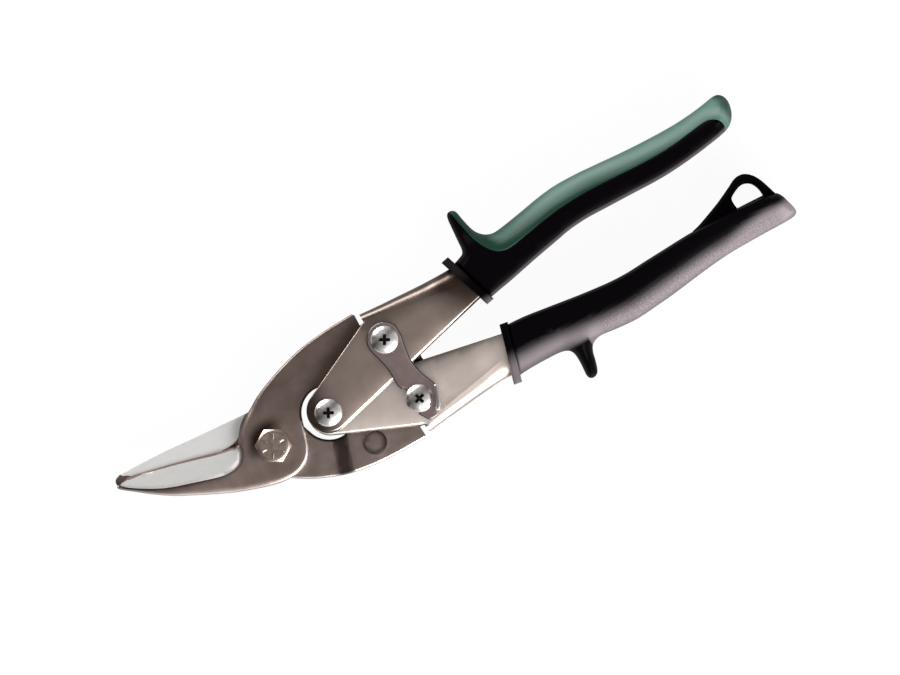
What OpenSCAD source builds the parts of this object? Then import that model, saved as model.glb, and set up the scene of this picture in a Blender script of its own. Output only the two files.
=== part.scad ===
// Compound-action aviation snips, lying flat.
// X runs along the tool from the blade pivot to the grips, Y across it and Z up.
// The origin is on the blade pivot's axis, in the plane that the tool rests on.

/* [Linkage] */
// Distance from the blade pivot to the pin that joins each blade's arm to its handle
arm_len = 52.8; // [50:0.1:56]
// Distance from the handle pivot to that same pin
link_len = 31.7; // [30:0.1:34]
// Half the distance between the two arm pins when the tool is closed
pin_half_gap = 11.7; // [11:0.1:12.5]
// Running clearance on the radius of every turning joint
run_clear = 0.06; // [0.03:0.01:0.1]
// Extra clearance on the radius at the lower arm's pin, where the linkage floats
float_clear = 0.22; // [0.18:0.01:0.3]

/* [Blades] */
// Thickness of each forged blade
blade_t = 4.4; // [3.8:0.1:4.8]
// Gap between the two blades' inner faces
blade_gap = 0.05; // [0.03:0.01:0.1]
// Length from the blade pivot to the tips
jaw_len = 53.9; // [50:0.1:58]
// Thickness of each jaw's back at its tip
tip_t = 1.3; // [1:0.1:2.5]
// Slope of the ground face behind each cutting edge, in degrees
grind_angle = 16.5; // [12:0.5:18]
// Height of the cutting edge's land above the inner face
edge_land = 0.9; // [0.5:0.1:1.2]
// Where the offset ramp of each arm starts, measured along the arm
ramp_start = 20; // [19:0.1:21]
// Length of the front arm's offset ramp, which the wider channel leaves room for
front_ramp_len = 12; // [8:0.1:13]
// Length of the rear arm's offset ramp
ramp_len = 5.6; // [4:0.1:6]
// Radius of the eye that each arm ends in
eye_r = 8.6; // [7.5:0.1:9]
// Radius of the round stamped dimple on the lower arm
dimple_r = 4; // [3:0.1:4.5]
// Depth of that dimple
dimple_depth = 0.3; // [0.1:0.05:0.6]
// Radius of the scoop that clears the handles' noses
scoop_r = 9.4; // [9:0.1:9.8]

/* [Blade pivot] */
// Shank diameter of the pivot bolt
bolt_d = 6.35; // [5:0.05:7]
// Width across flats of the bolt head and the nut
hex_af = 11.1; // [10:0.1:12]
// Height of the bolt head
bolt_head_h = 4.1; // [3.5:0.1:5]
// Thickness of the washer under the nut
pivot_washer_t = 1; // [0.8:0.1:1.2]
// Height of the steel part of the lock nut
nut_h = 3.8; // [3:0.1:4]
// Height of the nut's collar, which holds the nylon ring
nut_collar_h = 1.4; // [1.2:0.1:1.6]

/* [Handles] */
// Sheet thickness of the handle channels
sheet_t = 1.6; // [1.2:0.1:1.8]
// Gap on each side of an arm in the lower channel
side_gap = 0.1; // [0.05:0.01:0.2]
// Gap between the lower channel's flanges and the upper's, which straddle them
nest_gap = 0.2; // [0.1:0.05:0.3]
// Radius of the handles' rounded noses
nose_r = 7.7; // [7:0.1:8]
// Diameter of the pin barrels at the arms
arm_pin_d = 6.8; // [6:0.1:7.4]
// Diameter of the pin barrel at the handle pivot
handle_pin_d = 6; // [5:0.1:6.4]
// Diameter of the screws that close the pins
screw_d = 4; // [3.4:0.1:4.2]
// Diameter of the screw heads
screw_head_d = 9.6; // [8.5:0.1:10.4]
// Height of the screw heads
screw_head_h = 2.1; // [1.6:0.1:2.4]
// Height of the pins' rear heads
pin_head_h = 1.7; // [1.2:0.1:2]

/* [Latch] */
// Thickness of the latch plate
latch_t = 1.6; // [1.2:0.1:1.8]
// Thickness of the washer that the latch turns on
latch_washer_t = 0.6; // [0.4:0.1:0.8]
// Height of the thumb tab above the latch plate
latch_tab_h = 3.6; // [2:0.1:5]
// Gap round the lower screw's neck in the latch's notch
notch_gap = 0.3; // [0.2:0.05:0.4]

/* [Return spring] */
// Wire diameter of the spring
wire_d = 1.5; // [1.2:0.1:1.6]
// Radius of the coil at the wire's centre
coil_r = 5; // [4.7:0.1:5.4]
// Wall of the bush inside the coil
bush_wall = 0.8; // [0.6:0.1:1]
// Full turns in the coil, apart from the last half turn
coil_turns = 1; // [1:1:1]

/* [Grips] */
// Thickness of both grips, and so the height of the tool on a bench
grip_t = 22; // [21.4:0.1:24]
// Distance from the handle pivot to the grips' collars
grip_reach = 66; // [62:0.5:70]
// Length of the grips behind the collars
grip_len = 108; // [100:0.5:116]
// How much the sides of the grips crown before they are flattened
grip_crown = 0.5; // [0.2:0.1:1]
// Thickness of the collar at the front of each grip
collar_t = 2.8; // [2:0.1:3.5]
// Thickness of the finger guards
guard_t = 17; // [14:0.5:19]
// Thickness of the hanging loop
loop_t = 7; // [6:0.5:9]

/* [Hidden] */
$fn = 64;

// Heights, counted from the blades' contact plane
mid_z = grip_t / 2;
half_arm = blade_t / 2;
lower_in = half_arm + side_gap;
lower_out = lower_in + sheet_t;
upper_in = lower_out + nest_gap;
upper_out = upper_in + sheet_t;
latch_z = upper_out + latch_washer_t + 2 * run_clear;
latch_top = latch_z + latch_t;
head_z = latch_top + run_clear;

// Pivots in plan
pin_x = sqrt(arm_len * arm_len - pin_half_gap * pin_half_gap);
hinge_x = pin_x - sqrt(link_len * link_len - pin_half_gap * pin_half_gap);
UPPER_PIN = [pin_x, pin_half_gap];
LOWER_PIN = [pin_x, -pin_half_gap];
HANDLE_PIN = [hinge_x, 0];
grip_x = hinge_x + grip_reach;
arm_slope = 20;
head_r = screw_head_d / 2;
arm_pin_r = arm_pin_d / 2;
handle_pin_r = handle_pin_d / 2;
bolt_r = bolt_d / 2;
fit_clear = 0.04;
far = 400;

// A point of a Catmull-Rom curve between b and c
function spline_point(a, b, c, d, t) =
    0.5 * (2 * b + (c - a) * t + (2 * a - 5 * b + 4 * c - d) * t * t + (3 * b - a - 3 * c + d) * t * t * t);
// A smooth run through a list of keys, with n steps between keys
function curve(keys, n = 4) = [
    for (i = [0:len(keys) - 2])
        for (j = [0:n - 1])
            spline_point(keys[max(i - 1, 0)], keys[i], keys[i + 1], keys[min(i + 2, len(keys) - 1)], j / n),
    keys[len(keys) - 1]
];
function arc(centre, r, from, to, n = 12) =
    [for (i = [0:n]) centre + r * [cos(from + (to - from) * i / n), sin(from + (to - from) * i / n)]];
function mirrored(points) = [for (p = points) [p.x, -p.y]];
function moved(points, by) = [for (p = points) p + by];
function signed_power(v, e) = sign(v) * pow(abs(v), e);

// Places children at the height of the blades' contact plane
module mid() translate([0, 0, mid_z]) children();

// A flat plate between two heights
module plate(points, z0, z1) translate([0, 0, z0]) linear_extrude(z1 - z0) polygon(points);

module disc(at, r, z0, z1) translate([at.x, at.y, z0]) cylinder(r = r, h = z1 - z0);

module tube(at, inner, outer, z0, z1)
    translate([at.x, at.y, 0]) rotate_extrude()
        polygon([[inner, z0], [outer, z0], [outer, z1], [inner, z1]]);

// ---- Blades ----

// Side profile of a blade: full height at the jaw and pivot, then a ramp down to the middle of the channel
module offset_forging(length) {
    lo = blade_gap / 2;
    ramp_end = ramp_start + length;
    rotate([0, 0, arm_slope]) rotate([90, 0, 0]) linear_extrude(far, center = true)
        polygon([[-far, lo], [ramp_start, lo], [ramp_end, -half_arm], [far, -half_arm],
            [far, half_arm], [ramp_end, half_arm], [ramp_start, blade_t], [-far, blade_t]]);
}

// Side profile that thins a jaw from the pivot to its tip
module jaw_taper() rotate([90, 0, 0]) linear_extrude(far, center = true)
    polygon([[far, -far], [far, blade_t], [-7, blade_t], [-12, blade_t * 0.92], [-20, blade_t * 0.8],
        [-35, blade_t * 0.68], [tip_x + 9, blade_t * 0.52], [tip_x + 4, blade_t * 0.4], [tip_x, tip_t],
        [tip_x - 1, tip_t], [tip_x - 1, -far]]);

// The arm's outline from the pivot round the eye to the outer edge
function arm_outline() = concat(
    curve([[0, -12.7], [4, -12], [7.5, -10], [9.8, -6.9], [11.2, -3.2], [hinge_x - scoop_r, 1.6]]),
    arc(HANDLE_PIN, scoop_r, 165, 92),
    [UPPER_PIN + [-14, -3.4]],
    arc(UPPER_PIN, eye_r, 225, 450),
    [UPPER_PIN + [-4.9, eye_r], UPPER_PIN + [-4.75, 12.7]],
    curve([UPPER_PIN + [-5.4, 13.4], UPPER_PIN + [-16, 13.2], [25, 23.9], [15, 21.5], [5, 17.9], [0, 15.2]])
);

tip_x = -jaw_len;
EDGE_HEEL = [-10.6, 6.4];
EDGE_TIP = [tip_x + 1.9, 15.6];
front_edge = curve([EDGE_HEEL, [-17.5, 7.7], [-30, 11.4], [tip_x + 7, 15.8], EDGE_TIP]);
front_back = curve([[tip_x, 15.1], [tip_x + 0.7, 13.8], [tip_x + 9, 7.1], [-35, 0.6], [-20, -7], [-7, -11.7],
    [0, -12.7]]);
front_ground = concat(
    moved(front_edge, [0, 0.5]),
    curve([[tip_x + 1, 14.9], [tip_x + 9, 9.3], [-35, 4.6], [-25, 1.2], [-18, -0.4], [-12.5, 0.6], [-9.8, 4.2]])
);

// Cuts a sloping ground face, rising from the cutting edge towards the blade's back
module grind(points, heel, tip) {
    along = atan2(tip.y - heel.y, tip.x - heel.x);
    translate([heel.x, heel.y, edge_land]) rotate([0, 0, along]) rotate([grind_angle, 0, 0])
        rotate([0, 0, -along]) translate([-heel.x, -heel.y, 0]) linear_extrude(blade_t * 3) polygon(points);
}

module front_blade() color([0.40, 0.36, 0.34]) mid() difference() {
    intersection() {
        plate(concat(front_back, arm_outline(), curve([[-4, 12.9], [-8, 9.7], [-10.6, 6.4]]), front_edge),
            -blade_t, 2 * blade_t);
        offset_forging(front_ramp_len);
        jaw_taper();
    }
    grind(front_ground, EDGE_HEEL, EDGE_TIP);
    disc([0, 0], bolt_r + run_clear, -1, far / 2);
    disc(UPPER_PIN, arm_pin_r + run_clear, -far / 2, far / 2);
}

REAR_HEEL = [-9.6, 1.6];
REAR_TIP = [tip_x + 0.6, 15.9];
rear_edge = curve([REAR_HEEL, [-18, 4.4], [-30, 8.8], [tip_x + 7, 13.8], REAR_TIP]);
rear_top = curve([[-3, 14.4], [-20, 16], [-35, 17.5], [tip_x + 3.4, 18.4], [tip_x + 0.4, 18.1]]);
rear_ground = concat(
    moved(rear_edge, [0, -0.5]),
    curve([[tip_x + 1, 17.4], [-35, 14.6], [-20, 12.4], [-9, 9]])
);

module rear_blade() color([0.42, 0.38, 0.36]) mid() difference() {
    intersection() {
        plate(concat(rear_edge, [for (i = [len(rear_top) - 1:-1:0]) rear_top[i]], mirrored(rear_arm())),
            -2 * blade_t, blade_t);
        mirror([0, 1, 0]) mirror([0, 0, 1]) offset_forging(ramp_len);
        mirror([0, 0, 1]) jaw_taper();
    }
    mirror([0, 0, 1]) grind(rear_ground, REAR_TIP, REAR_HEEL);
    disc([0, 0], bolt_r + run_clear, -far / 2, 1);
    disc(LOWER_PIN, arm_pin_r + float_clear, -far / 2, far / 2);
    translate([LOWER_PIN.x - 21, LOWER_PIN.y - 5.2, half_arm - dimple_depth]) cylinder(r = dimple_r, h = 1);
}

// The rear arm, drawn upwards, with the fuller shoulder beside its own jaw
function rear_arm() = concat(
    curve([[-3, -14.4], [2, -13.4], [7.5, -10], [9.8, -6.9], [11.2, -3.2], [hinge_x - scoop_r, 1.6]]),
    arc(HANDLE_PIN, scoop_r, 165, 92),
    [UPPER_PIN + [-14, -3.4]],
    arc(UPPER_PIN, eye_r, 225, 450),
    [UPPER_PIN + [-4.9, eye_r], UPPER_PIN + [-4.75, 12.4]],
    curve([UPPER_PIN + [-5.4, 12.8], UPPER_PIN + [-16, 12.6], [25, 23.3], [15, 21], [5, 16.5], [-2, 11.5],
        [-7.5, 4.5], [-9.6, -1.6]])
);

// ---- Blade pivot ----

module hexagon(af, z0, z1)
    translate([0, 0, z0]) rotate([0, 0, 30]) cylinder(d = af / cos(30), h = z1 - z0, $fn = 6);

// Turned envelope that chamfers the corners of a hexagon at its outer face
module corner_chamfer(af, z0, z1) {
    r = af / 2;
    rotate_extrude() polygon([[0, z0], [2 * r, z0], [2 * r, z1 - r * 0.62], [r * 0.92, z1], [0, z1]]);
}

module pivot_bolt() color([0.45, 0.40, 0.37]) mid() {
    z = blade_t;
    difference() {
        intersection() {
            hexagon(hex_af, z, z + bolt_head_h);
            corner_chamfer(hex_af, z, z + bolt_head_h);
        }
        for (i = [0:5])
            rotate([0, 0, 60 * i]) translate([2.6, -0.22, z + bolt_head_h - 0.2]) cube([1.8, 0.44, 1]);
    }
    disc([0, 0], bolt_r, -mid_z, z);
}

module pivot_washer() color([0.75, 0.74, 0.72]) mid()
    tube([0, 0], bolt_r + fit_clear, hex_af * 0.62, -blade_t - pivot_washer_t, -blade_t);

nut_z = -blade_t - pivot_washer_t;
ring_r = hex_af * 0.38;
module pivot_nut() color([0.72, 0.71, 0.70]) mid() difference() {
    union() {
        mirror([0, 0, 1]) intersection() {
            hexagon(hex_af, -nut_z, -nut_z + nut_h);
            corner_chamfer(hex_af, -nut_z, -nut_z + nut_h);
        }
        disc([0, 0], hex_af * 0.45, nut_z - nut_h - nut_collar_h, nut_z - nut_h / 2);
    }
    disc([0, 0], bolt_r + fit_clear, -far / 2, 0);
    disc([0, 0], ring_r, nut_z - nut_h - nut_collar_h - 1, nut_z - nut_h);
}

module pivot_nut_ring() color([0.2, 0.35, 0.6]) mid()
    tube([0, 0], bolt_r + fit_clear, ring_r - fit_clear, nut_z - nut_h - nut_collar_h * 0.9, nut_z - nut_h);

// ---- Handles ----

web_x = pin_x - 3.15;
tail_x = grip_x + grip_len - 14;
function channel_outer() = curve([[web_x, 23.6], [60, 22.5], [grip_x - 6, 21.2], [grip_x + 32, 21.9],
    [grip_x + 62, 21.4], [tail_x, 20.6]]);
function channel_inner() = curve([[grip_x - 3, 6.7], [grip_x + 12, 9.8], [grip_x + 32, 12.8], [grip_x + 62, 14],
    [tail_x, 14.5]]);
function reversed(points) = [for (i = [len(points) - 1:-1:0]) points[i]];
NOSE = HANDLE_PIN + [0.45, 0.5];

function flange_outline() = concat(
    [[web_x, 20.5], UPPER_PIN + [-4, 8.6]],
    arc(NOSE, nose_r, 114.3, 283, 20),
    channel_inner(),
    reversed(channel_outer())
);

// A channel: two flanges and the web that joins them along the outer edge
module channel(z_in, z_out) {
    for (side = [0, 1]) mirror([0, 0, side]) plate(flange_outline(), z_in, z_out);
    web = channel_outer();
    plate(concat(web, reversed(moved(web, [0, -sheet_t]))), -z_out, z_out);
}

module upper_handle() color([0.62, 0.57, 0.54]) mid() difference() {
    channel(upper_in, upper_out);
    disc(HANDLE_PIN, handle_pin_r + run_clear, -far / 2, far / 2);
    disc(UPPER_PIN, arm_pin_r + run_clear, -far / 2, far / 2);
}

module lower_handle() color([0.64, 0.60, 0.57]) mid() mirror([0, 1, 0]) difference() {
    channel(lower_in, lower_out);
    disc(HANDLE_PIN, handle_pin_r + fit_clear, -far / 2, far / 2);
    disc(UPPER_PIN, arm_pin_r + fit_clear, -far / 2, far / 2);
}

// ---- Pins and screws ----

// Domed screw head on a shank, with a cross recess
module screw(at, r_neck, z_neck, z_head, z_tip) {
    recess = 3.6;
    translate([at.x, at.y, 0]) difference() {
        rotate_extrude() polygon(concat(
            [[0, z_tip], [screw_d / 2 - fit_clear - 0.2, z_tip], [screw_d / 2 - fit_clear - 0.2, z_neck],
                [r_neck, z_neck], [r_neck, z_head], [head_r, z_head]],
            [for (i = [0:6]) [head_r * cos(15 * i), z_head + screw_head_h * (0.3 + 0.7 * sin(15 * i))]]
        ));
        for (turn = [20, 110])
            rotate([0, 0, turn]) translate([-recess / 2, -0.45, z_head + screw_head_h - 1.3])
                cube([recess, 0.9, 4]);
    }
}

// Sleeve pin with a rear head, bored for its screw
module sleeve_pin(at, r, z_head, z_end) difference() {
    union() {
        disc(at, r, z_head, z_end);
        translate([at.x, at.y, 0]) rotate_extrude() polygon(concat(
            [[0, z_head], [head_r, z_head]],
            [for (i = [0:6]) [head_r * cos(15 * i), z_head - pin_head_h * (0.4 + 0.6 * sin(15 * i))]]
        ));
    }
    disc(at, screw_d / 2, z_head + 1, z_end + 1);
}

module upper_arm_pin() color([0.78, 0.77, 0.75]) mid()
    sleeve_pin(UPPER_PIN, arm_pin_r, -upper_out, head_z);
module upper_arm_screw() color([0.8, 0.79, 0.77]) mid()
    screw(UPPER_PIN, screw_d / 2 - fit_clear - 0.2, head_z, head_z, -lower_out);
module upper_arm_spacers() color([0.7, 0.68, 0.66]) mid()
    for (side = [0, 1]) mirror([0, 0, side])
        tube(UPPER_PIN, arm_pin_r + run_clear, arm_pin_r + 2, half_arm + side_gap, upper_in);
module lower_arm_pin() color([0.78, 0.77, 0.75]) mid()
    sleeve_pin(LOWER_PIN, arm_pin_r, -lower_out, lower_out);
module lower_arm_screw() color([0.8, 0.79, 0.77]) mid()
    screw(LOWER_PIN, screw_d / 2, lower_out, head_z, -lower_in);
module handle_pivot_pin() color([0.78, 0.77, 0.75]) mid()
    sleeve_pin(HANDLE_PIN, handle_pin_r, -upper_out, upper_out + run_clear);
module handle_pivot_screw() color([0.8, 0.79, 0.77]) mid()
    screw(HANDLE_PIN, screw_d / 2 - fit_clear - 0.2, upper_out + run_clear, upper_out + run_clear, -lower_out);

// ---- Latch ----

module latch_washer() color([0.6, 0.57, 0.55]) mid()
    tube(UPPER_PIN, arm_pin_r + run_clear, arm_pin_r + 2.1, upper_out + run_clear,
        upper_out + run_clear + latch_washer_t);

function latch_outline() = let (u = UPPER_PIN, l = LOWER_PIN, r = screw_d / 2 + notch_gap) concat(
    arc(u, 6.2, 20, 198, 16),
    curve([u + [-4.9, -5.7], u + [-4.2, -9.7], u + [-4.1, -16.5], l + [-2.6, 5.2]]),
    [l + [-1.6, r + 0.9]],
    arc(l, r, 75, -75, 8),
    [l + [-0.9, -r - 0.6], l + [-3.0, -4.6]],
    [l + [-1.1, -7.8], l + [-0.4, -8.3], l + [2.4, -8.3]],
    curve([l + [3.6, -7.2], l + [5.5, -4.8], l + [7.2, -0.8], l + [7.2, 1.9]]),
    curve([l + [5.3, 6.7], l + [4.5, 10.2], l + [4.3, 13.7], u + [4.9, -5.7], u + [5.8, -1.7]])
);

module latch() color([0.48, 0.43, 0.42]) mid() {
    difference() {
        plate(latch_outline(), latch_z, latch_top);
        disc(UPPER_PIN, arm_pin_r + run_clear, 0, far / 2);
    }
    tab = curve([LOWER_PIN + [4.0, -7.1], LOWER_PIN + [6.0, -4.4], LOWER_PIN + [8.2, 1.0]]);
    plate(concat(tab, reversed(moved(tab, [-1.5, 0.6]))), latch_z, latch_top + latch_tab_h);
}

// ---- Return spring ----

LEG_END = [pin_x + 7.6, 0.4];
coil_rise = 2 * lower_in - wire_d - 0.2;
leg_tilt = atan2(coil_r - LEG_END.y, LEG_END.x - hinge_x);
coil_from = leg_tilt - 90;
coil_sweep = 360 * coil_turns + 180 + 2 * leg_tilt;
coil_steps = 24;
function coil_point(i) = let (a = coil_from - coil_sweep * i / coil_steps)
    [hinge_x + coil_r * cos(a), coil_r * sin(a), coil_rise * (i / coil_steps - 0.5)];
spring_path = concat([[LEG_END.x, -LEG_END.y, -coil_rise / 2]], [for (i = [0:coil_steps]) coil_point(i)],
    [[LEG_END.x, LEG_END.y, coil_rise / 2]]);

// A round tube along a path, with its ends closed
module wire(path, r, sides = 8) {
    last = len(path) - 1;
    function unit(v) = v / norm(v);
    function heading(i) = unit(path[min(i + 1, last)] - path[max(i - 1, 0)]);
    function ring(i) = let (t = heading(i), s = unit(cross(t, [0, 0, 1])), u = cross(s, t))
        [for (k = [0:sides - 1]) path[i] + r * (s * cos(360 * k / sides) + u * sin(360 * k / sides))];
    polyhedron([for (i = [0:last]) each ring(i)], skin_faces(last + 1, sides));
}

// Triangles that join rings of points and close both ends
function skin_faces(rings, sides) = concat(
    [for (i = [0:rings - 2]) for (k = [0:sides - 1]) each
        let (a = i * sides + k, b = i * sides + (k + 1) % sides, c = a + sides, d = b + sides)
            [[a, b, d], [a, d, c]]],
    [for (k = [1:sides - 2]) [0, k + 1, k]],
    [for (k = [1:sides - 2]) let (o = (rings - 1) * sides) [o, o + k, o + k + 1]]
);

module spring_bush() color([0.7, 0.68, 0.6]) mid()
    tube(HANDLE_PIN, handle_pin_r + fit_clear, handle_pin_r + bush_wall, -lower_in + fit_clear,
        lower_in - fit_clear);

module return_spring() color([0.15, 0.14, 0.14]) mid() wire(spring_path, wire_d / 2);

// ---- Grips ----

// Keys run along a grip: the inner edge's point, the outer edge's point, and the half thickness.
// Lengths are counted from the collar, as shares of the grip's length behind it.
function at_grip(share, y) = [grip_x + grip_len * share, y];
full = grip_t / 2 + grip_crown;
upper_keys = [
    [0.02, 5.7, -0.036, 22.3, full - 1.4], [0.07, 6.5, 0.045, 23.3, full - 0.4],
    [0.16, 8, 0.16, 24.4, full], [0.25, 9.8, 0.25, 25.7, full], [0.34, 11.6, 0.34, 27, full],
    [0.43, 12, 0.43, 27.4, full], [0.53, 11.4, 0.53, 26.5, full], [0.64, 10.9, 0.64, 25.2, full],
    [0.76, 11, 0.76, 24.4, full], [0.87, 12.2, 0.87, 24.7, full], [0.945, 13.5, 0.955, 25.8, full - 0.3],
    [0.975, 15.3, 0.983, 24.6, full - 2.6], [0.99, 18.4, 0.994, 22.2, full - 5.5]
];
lower_keys = [
    [0.02, 5.4, -0.036, 22.6, full - 1.4], [0.07, 5.8, 0.05, 22.5, full - 0.4],
    [0.16, 7.3, 0.14, 23.4, full], [0.25, 9, 0.25, 25.4, full], [0.34, 10.6, 0.34, 26.4, full],
    [0.43, 11.2, 0.43, 26.6, full], [0.53, 10.9, 0.53, 25.8, full], [0.64, 10.7, 0.64, 24.5, full],
    [0.76, 11.2, 0.76, 23.6, full], [0.87, 12, 0.87, 23.8, full], [0.955, 12.9, 0.965, 24.1, full - 0.3],
    [0.985, 15, 0.99, 23.8, full - 2.6], [0.997, 18.6, 1.002, 22, full - 5.5]
];
ring_sides = 20;
squareness = 0.55;
function grip_ring(k) = let (inner = at_grip(k[0], k[1]), outer = at_grip(k[2], k[3]),
        centre = (inner + outer) / 2, reach = (outer - inner) / 2)
    [for (i = [0:ring_sides - 1]) let (a = 360 * (i + 0.5) / ring_sides,
            p = centre - reach * signed_power(cos(a), squareness))
        [p.x, p.y, k[4] * signed_power(sin(a), squareness)]];

// The grip's body: rings along the keys, with both sides flattened to the grip's thickness
module grip_body(keys) {
    rings = curve(keys, 3);
    intersection() {
        polyhedron([for (k = rings) each grip_ring(k)], skin_faces(len(rings), ring_sides));
        translate([0, -far / 2, -grip_t / 2]) cube([far, far, grip_t]);
    }
}

module collar() {
    foot = at_grip(0.002, 4.2);
    top = at_grip(-0.056, 24.4);
    plate([foot, foot + [collar_t, 0.5], top + [collar_t, 0.5], top], 1 - grip_t / 2, grip_t / 2 - 1);
}

// Room for the channel's tail
module tail_room(z_out) {
    c = fit_clear;
    start = at_grip(-0.2, 22);
    plate(concat([start, at_grip(-0.2, 3)], moved(channel_inner(), [0, -c]), [[tail_x + c, 14.5], [tail_x + c, 20.6]],
        reversed(moved(channel_outer(), [0, c]))), -z_out - c, z_out + c);
}

upper_guard = concat([at_grip(0.035, 16), at_grip(0.022, 24)],
    curve([at_grip(0.028, 33), at_grip(0.033, 37.2), at_grip(0.05, 38.3), at_grip(0.065, 37.2), at_grip(0.08, 29.9),
        at_grip(0.1, 26), at_grip(0.14, 24.2)]), [at_grip(0.16, 16)]);
lower_guard = concat([at_grip(0.12, 16), at_grip(0.13, 23.2)],
    curve([at_grip(0.155, 25), at_grip(0.16, 29), at_grip(0.158, 35), at_grip(0.175, 36.4), at_grip(0.195, 35),
        at_grip(0.214, 29), at_grip(0.23, 26), at_grip(0.26, 25.3)]), [at_grip(0.28, 16)]);

module upper_grip_form() {
    grip_body(upper_keys);
    plate(upper_guard, -guard_t / 2, guard_t / 2);
}

// Everything outside the line where the soft cover meets the hard core
module cover_side() {
    seam = curve([at_grip(0.048, 39), at_grip(0.053, 34), at_grip(0.066, 26.5), at_grip(0.1, 19.4),
        at_grip(0.14, 17), at_grip(0.25, 18.3), at_grip(0.42, 20), at_grip(0.6, 18.8), at_grip(0.7, 18.3),
        at_grip(0.83, 19.1), at_grip(0.88, 19.6), at_grip(0.93, 17.6), at_grip(0.935, 9)]);
    plate(concat(seam, [at_grip(1.2, 9), at_grip(1.2, 45), at_grip(0.048, 45)]), -grip_t, grip_t);
}

module upper_grip() color([0.07, 0.06, 0.07]) mid() difference() {
    union() {
        upper_grip_form();
        collar();
    }
    cover_side();
    tail_room(upper_out);
}

module upper_grip_cover() color([0.33, 0.53, 0.47]) mid() difference() {
    intersection() {
        upper_grip_form();
        cover_side();
    }
    tail_room(upper_out);
}

loop_outer = concat([at_grip(0.68, 14)], curve([at_grip(0.685, 10.4), at_grip(0.76, 8), at_grip(0.84, 4.3),
    at_grip(0.89, 2.2), at_grip(0.93, 3.8), at_grip(0.955, 8), at_grip(0.97, 14)]));
loop_hole = concat(
    curve([at_grip(0.843, 11.6), at_grip(0.842, 7.6), at_grip(0.865, 6.1), at_grip(0.893, 5.4), at_grip(0.922, 6.7),
        at_grip(0.933, 9.6), at_grip(0.936, 11.7)])
);

module lower_grip() color([0.06, 0.05, 0.06]) mid() mirror([0, 1, 0]) difference() {
    union() {
        grip_body(lower_keys);
        collar();
        plate(lower_guard, -guard_t / 2, guard_t / 2);
        plate(loop_outer, -loop_t / 2, loop_t / 2);
    }
    plate(loop_hole, -grip_t, grip_t);
    tail_room(lower_out);
}

front_blade();
rear_blade();
pivot_bolt();
pivot_washer();
pivot_nut();
pivot_nut_ring();
upper_handle();
lower_handle();
upper_grip();
upper_grip_cover();
lower_grip();
latch();
latch_washer();
upper_arm_screw();
upper_arm_pin();
upper_arm_spacers();
lower_arm_screw();
lower_arm_pin();
handle_pivot_screw();
handle_pivot_pin();
spring_bush();
return_spring();
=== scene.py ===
"""Looks of a pair of compound-action aviation snips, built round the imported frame.

Plan sizes are in millimetres from the blade pivot, with X along the tool, and heights are counted from the
plane where the two blades meet. Every piece is turned into metres in the row frame when its mesh is made.
"""

import logging
import math
from dataclasses import dataclass, field
from enum import Enum
from typing import Callable, Sequence

import bpy
import numpy as np
from mathutils import Matrix, Vector
from mathutils.geometry import delaunay_2d_cdt


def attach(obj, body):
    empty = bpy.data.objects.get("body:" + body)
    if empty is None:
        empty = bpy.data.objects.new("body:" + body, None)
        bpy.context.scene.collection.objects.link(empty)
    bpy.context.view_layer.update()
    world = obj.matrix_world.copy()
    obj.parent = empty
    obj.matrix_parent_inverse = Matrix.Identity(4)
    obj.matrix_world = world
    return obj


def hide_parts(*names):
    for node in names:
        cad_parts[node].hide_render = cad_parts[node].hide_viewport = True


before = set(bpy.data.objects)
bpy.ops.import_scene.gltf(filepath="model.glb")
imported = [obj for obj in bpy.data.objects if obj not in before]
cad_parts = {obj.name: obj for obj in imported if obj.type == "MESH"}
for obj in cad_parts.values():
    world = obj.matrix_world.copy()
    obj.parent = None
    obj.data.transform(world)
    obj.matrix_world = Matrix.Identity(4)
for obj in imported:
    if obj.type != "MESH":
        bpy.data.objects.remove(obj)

LOG = logging.getLogger("snips")
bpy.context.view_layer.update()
MM = 0.001
MID_Z = 11.0
TINY = 1e-6

Array = np.ndarray
Height = Callable[[Array], Array]
Colour = tuple[float, float, float, float]


# plan curves


def pts(*pairs: Sequence[float]) -> Array:
    """Plan points as an array of rows."""
    return np.array(pairs, float)


def smooth(keys: Array, steps: int = 6) -> Array:
    """Catmull-Rom curve through plan points.

    Args:
        keys: Points that the curve passes through.
        steps: Spans between two neighbouring keys.

    Returns:
        The curve's points, with both ends.
    """
    found = []
    last = len(keys) - 1
    for i in range(last):
        a, b, c, d = keys[max(i - 1, 0)], keys[i], keys[i + 1], keys[min(i + 2, last)]
        for t in np.arange(steps) / steps:
            found.append(0.5 * (2 * b + (c - a) * t + (2 * a - 5 * b + 4 * c - d) * t * t
                                + (3 * b - a - 3 * c + d) * t ** 3))
    return np.array([*found, keys[-1]])


def arc(centre: Sequence[float], radius: float, start: float, end: float, steps: int = 24) -> Array:
    """Arc round a centre, between two angles in degrees."""
    turn = np.radians(np.linspace(start, end, steps + 1))
    return np.asarray(centre) + radius * np.column_stack([np.cos(turn), np.sin(turn)])


def circle(centre: Sequence[float], radius: float, sides: int) -> Array:
    """Closed round outline, without its first point repeated."""
    return arc(centre, radius, 0, 360, sides)[:-1]


def flipped(points: Array) -> Array:
    """The same points on the other side of the tool's long axis."""
    return points * [1, -1]


def evened(points: Array, pitch: float) -> Array:
    """Splits long spans, so that no two neighbouring points lie further apart than a pitch.

    Args:
        points: The line's points.
        pitch: Longest span.

    Returns:
        The points with the new ones.
    """
    found = [points[0]]
    for a, b in zip(points, points[1:]):
        parts = max(1, math.ceil(np.linalg.norm(b - a) / pitch))
        found += [a + (b - a) * k / parts for k in range(1, parts + 1)]
    return np.array(found)


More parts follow.
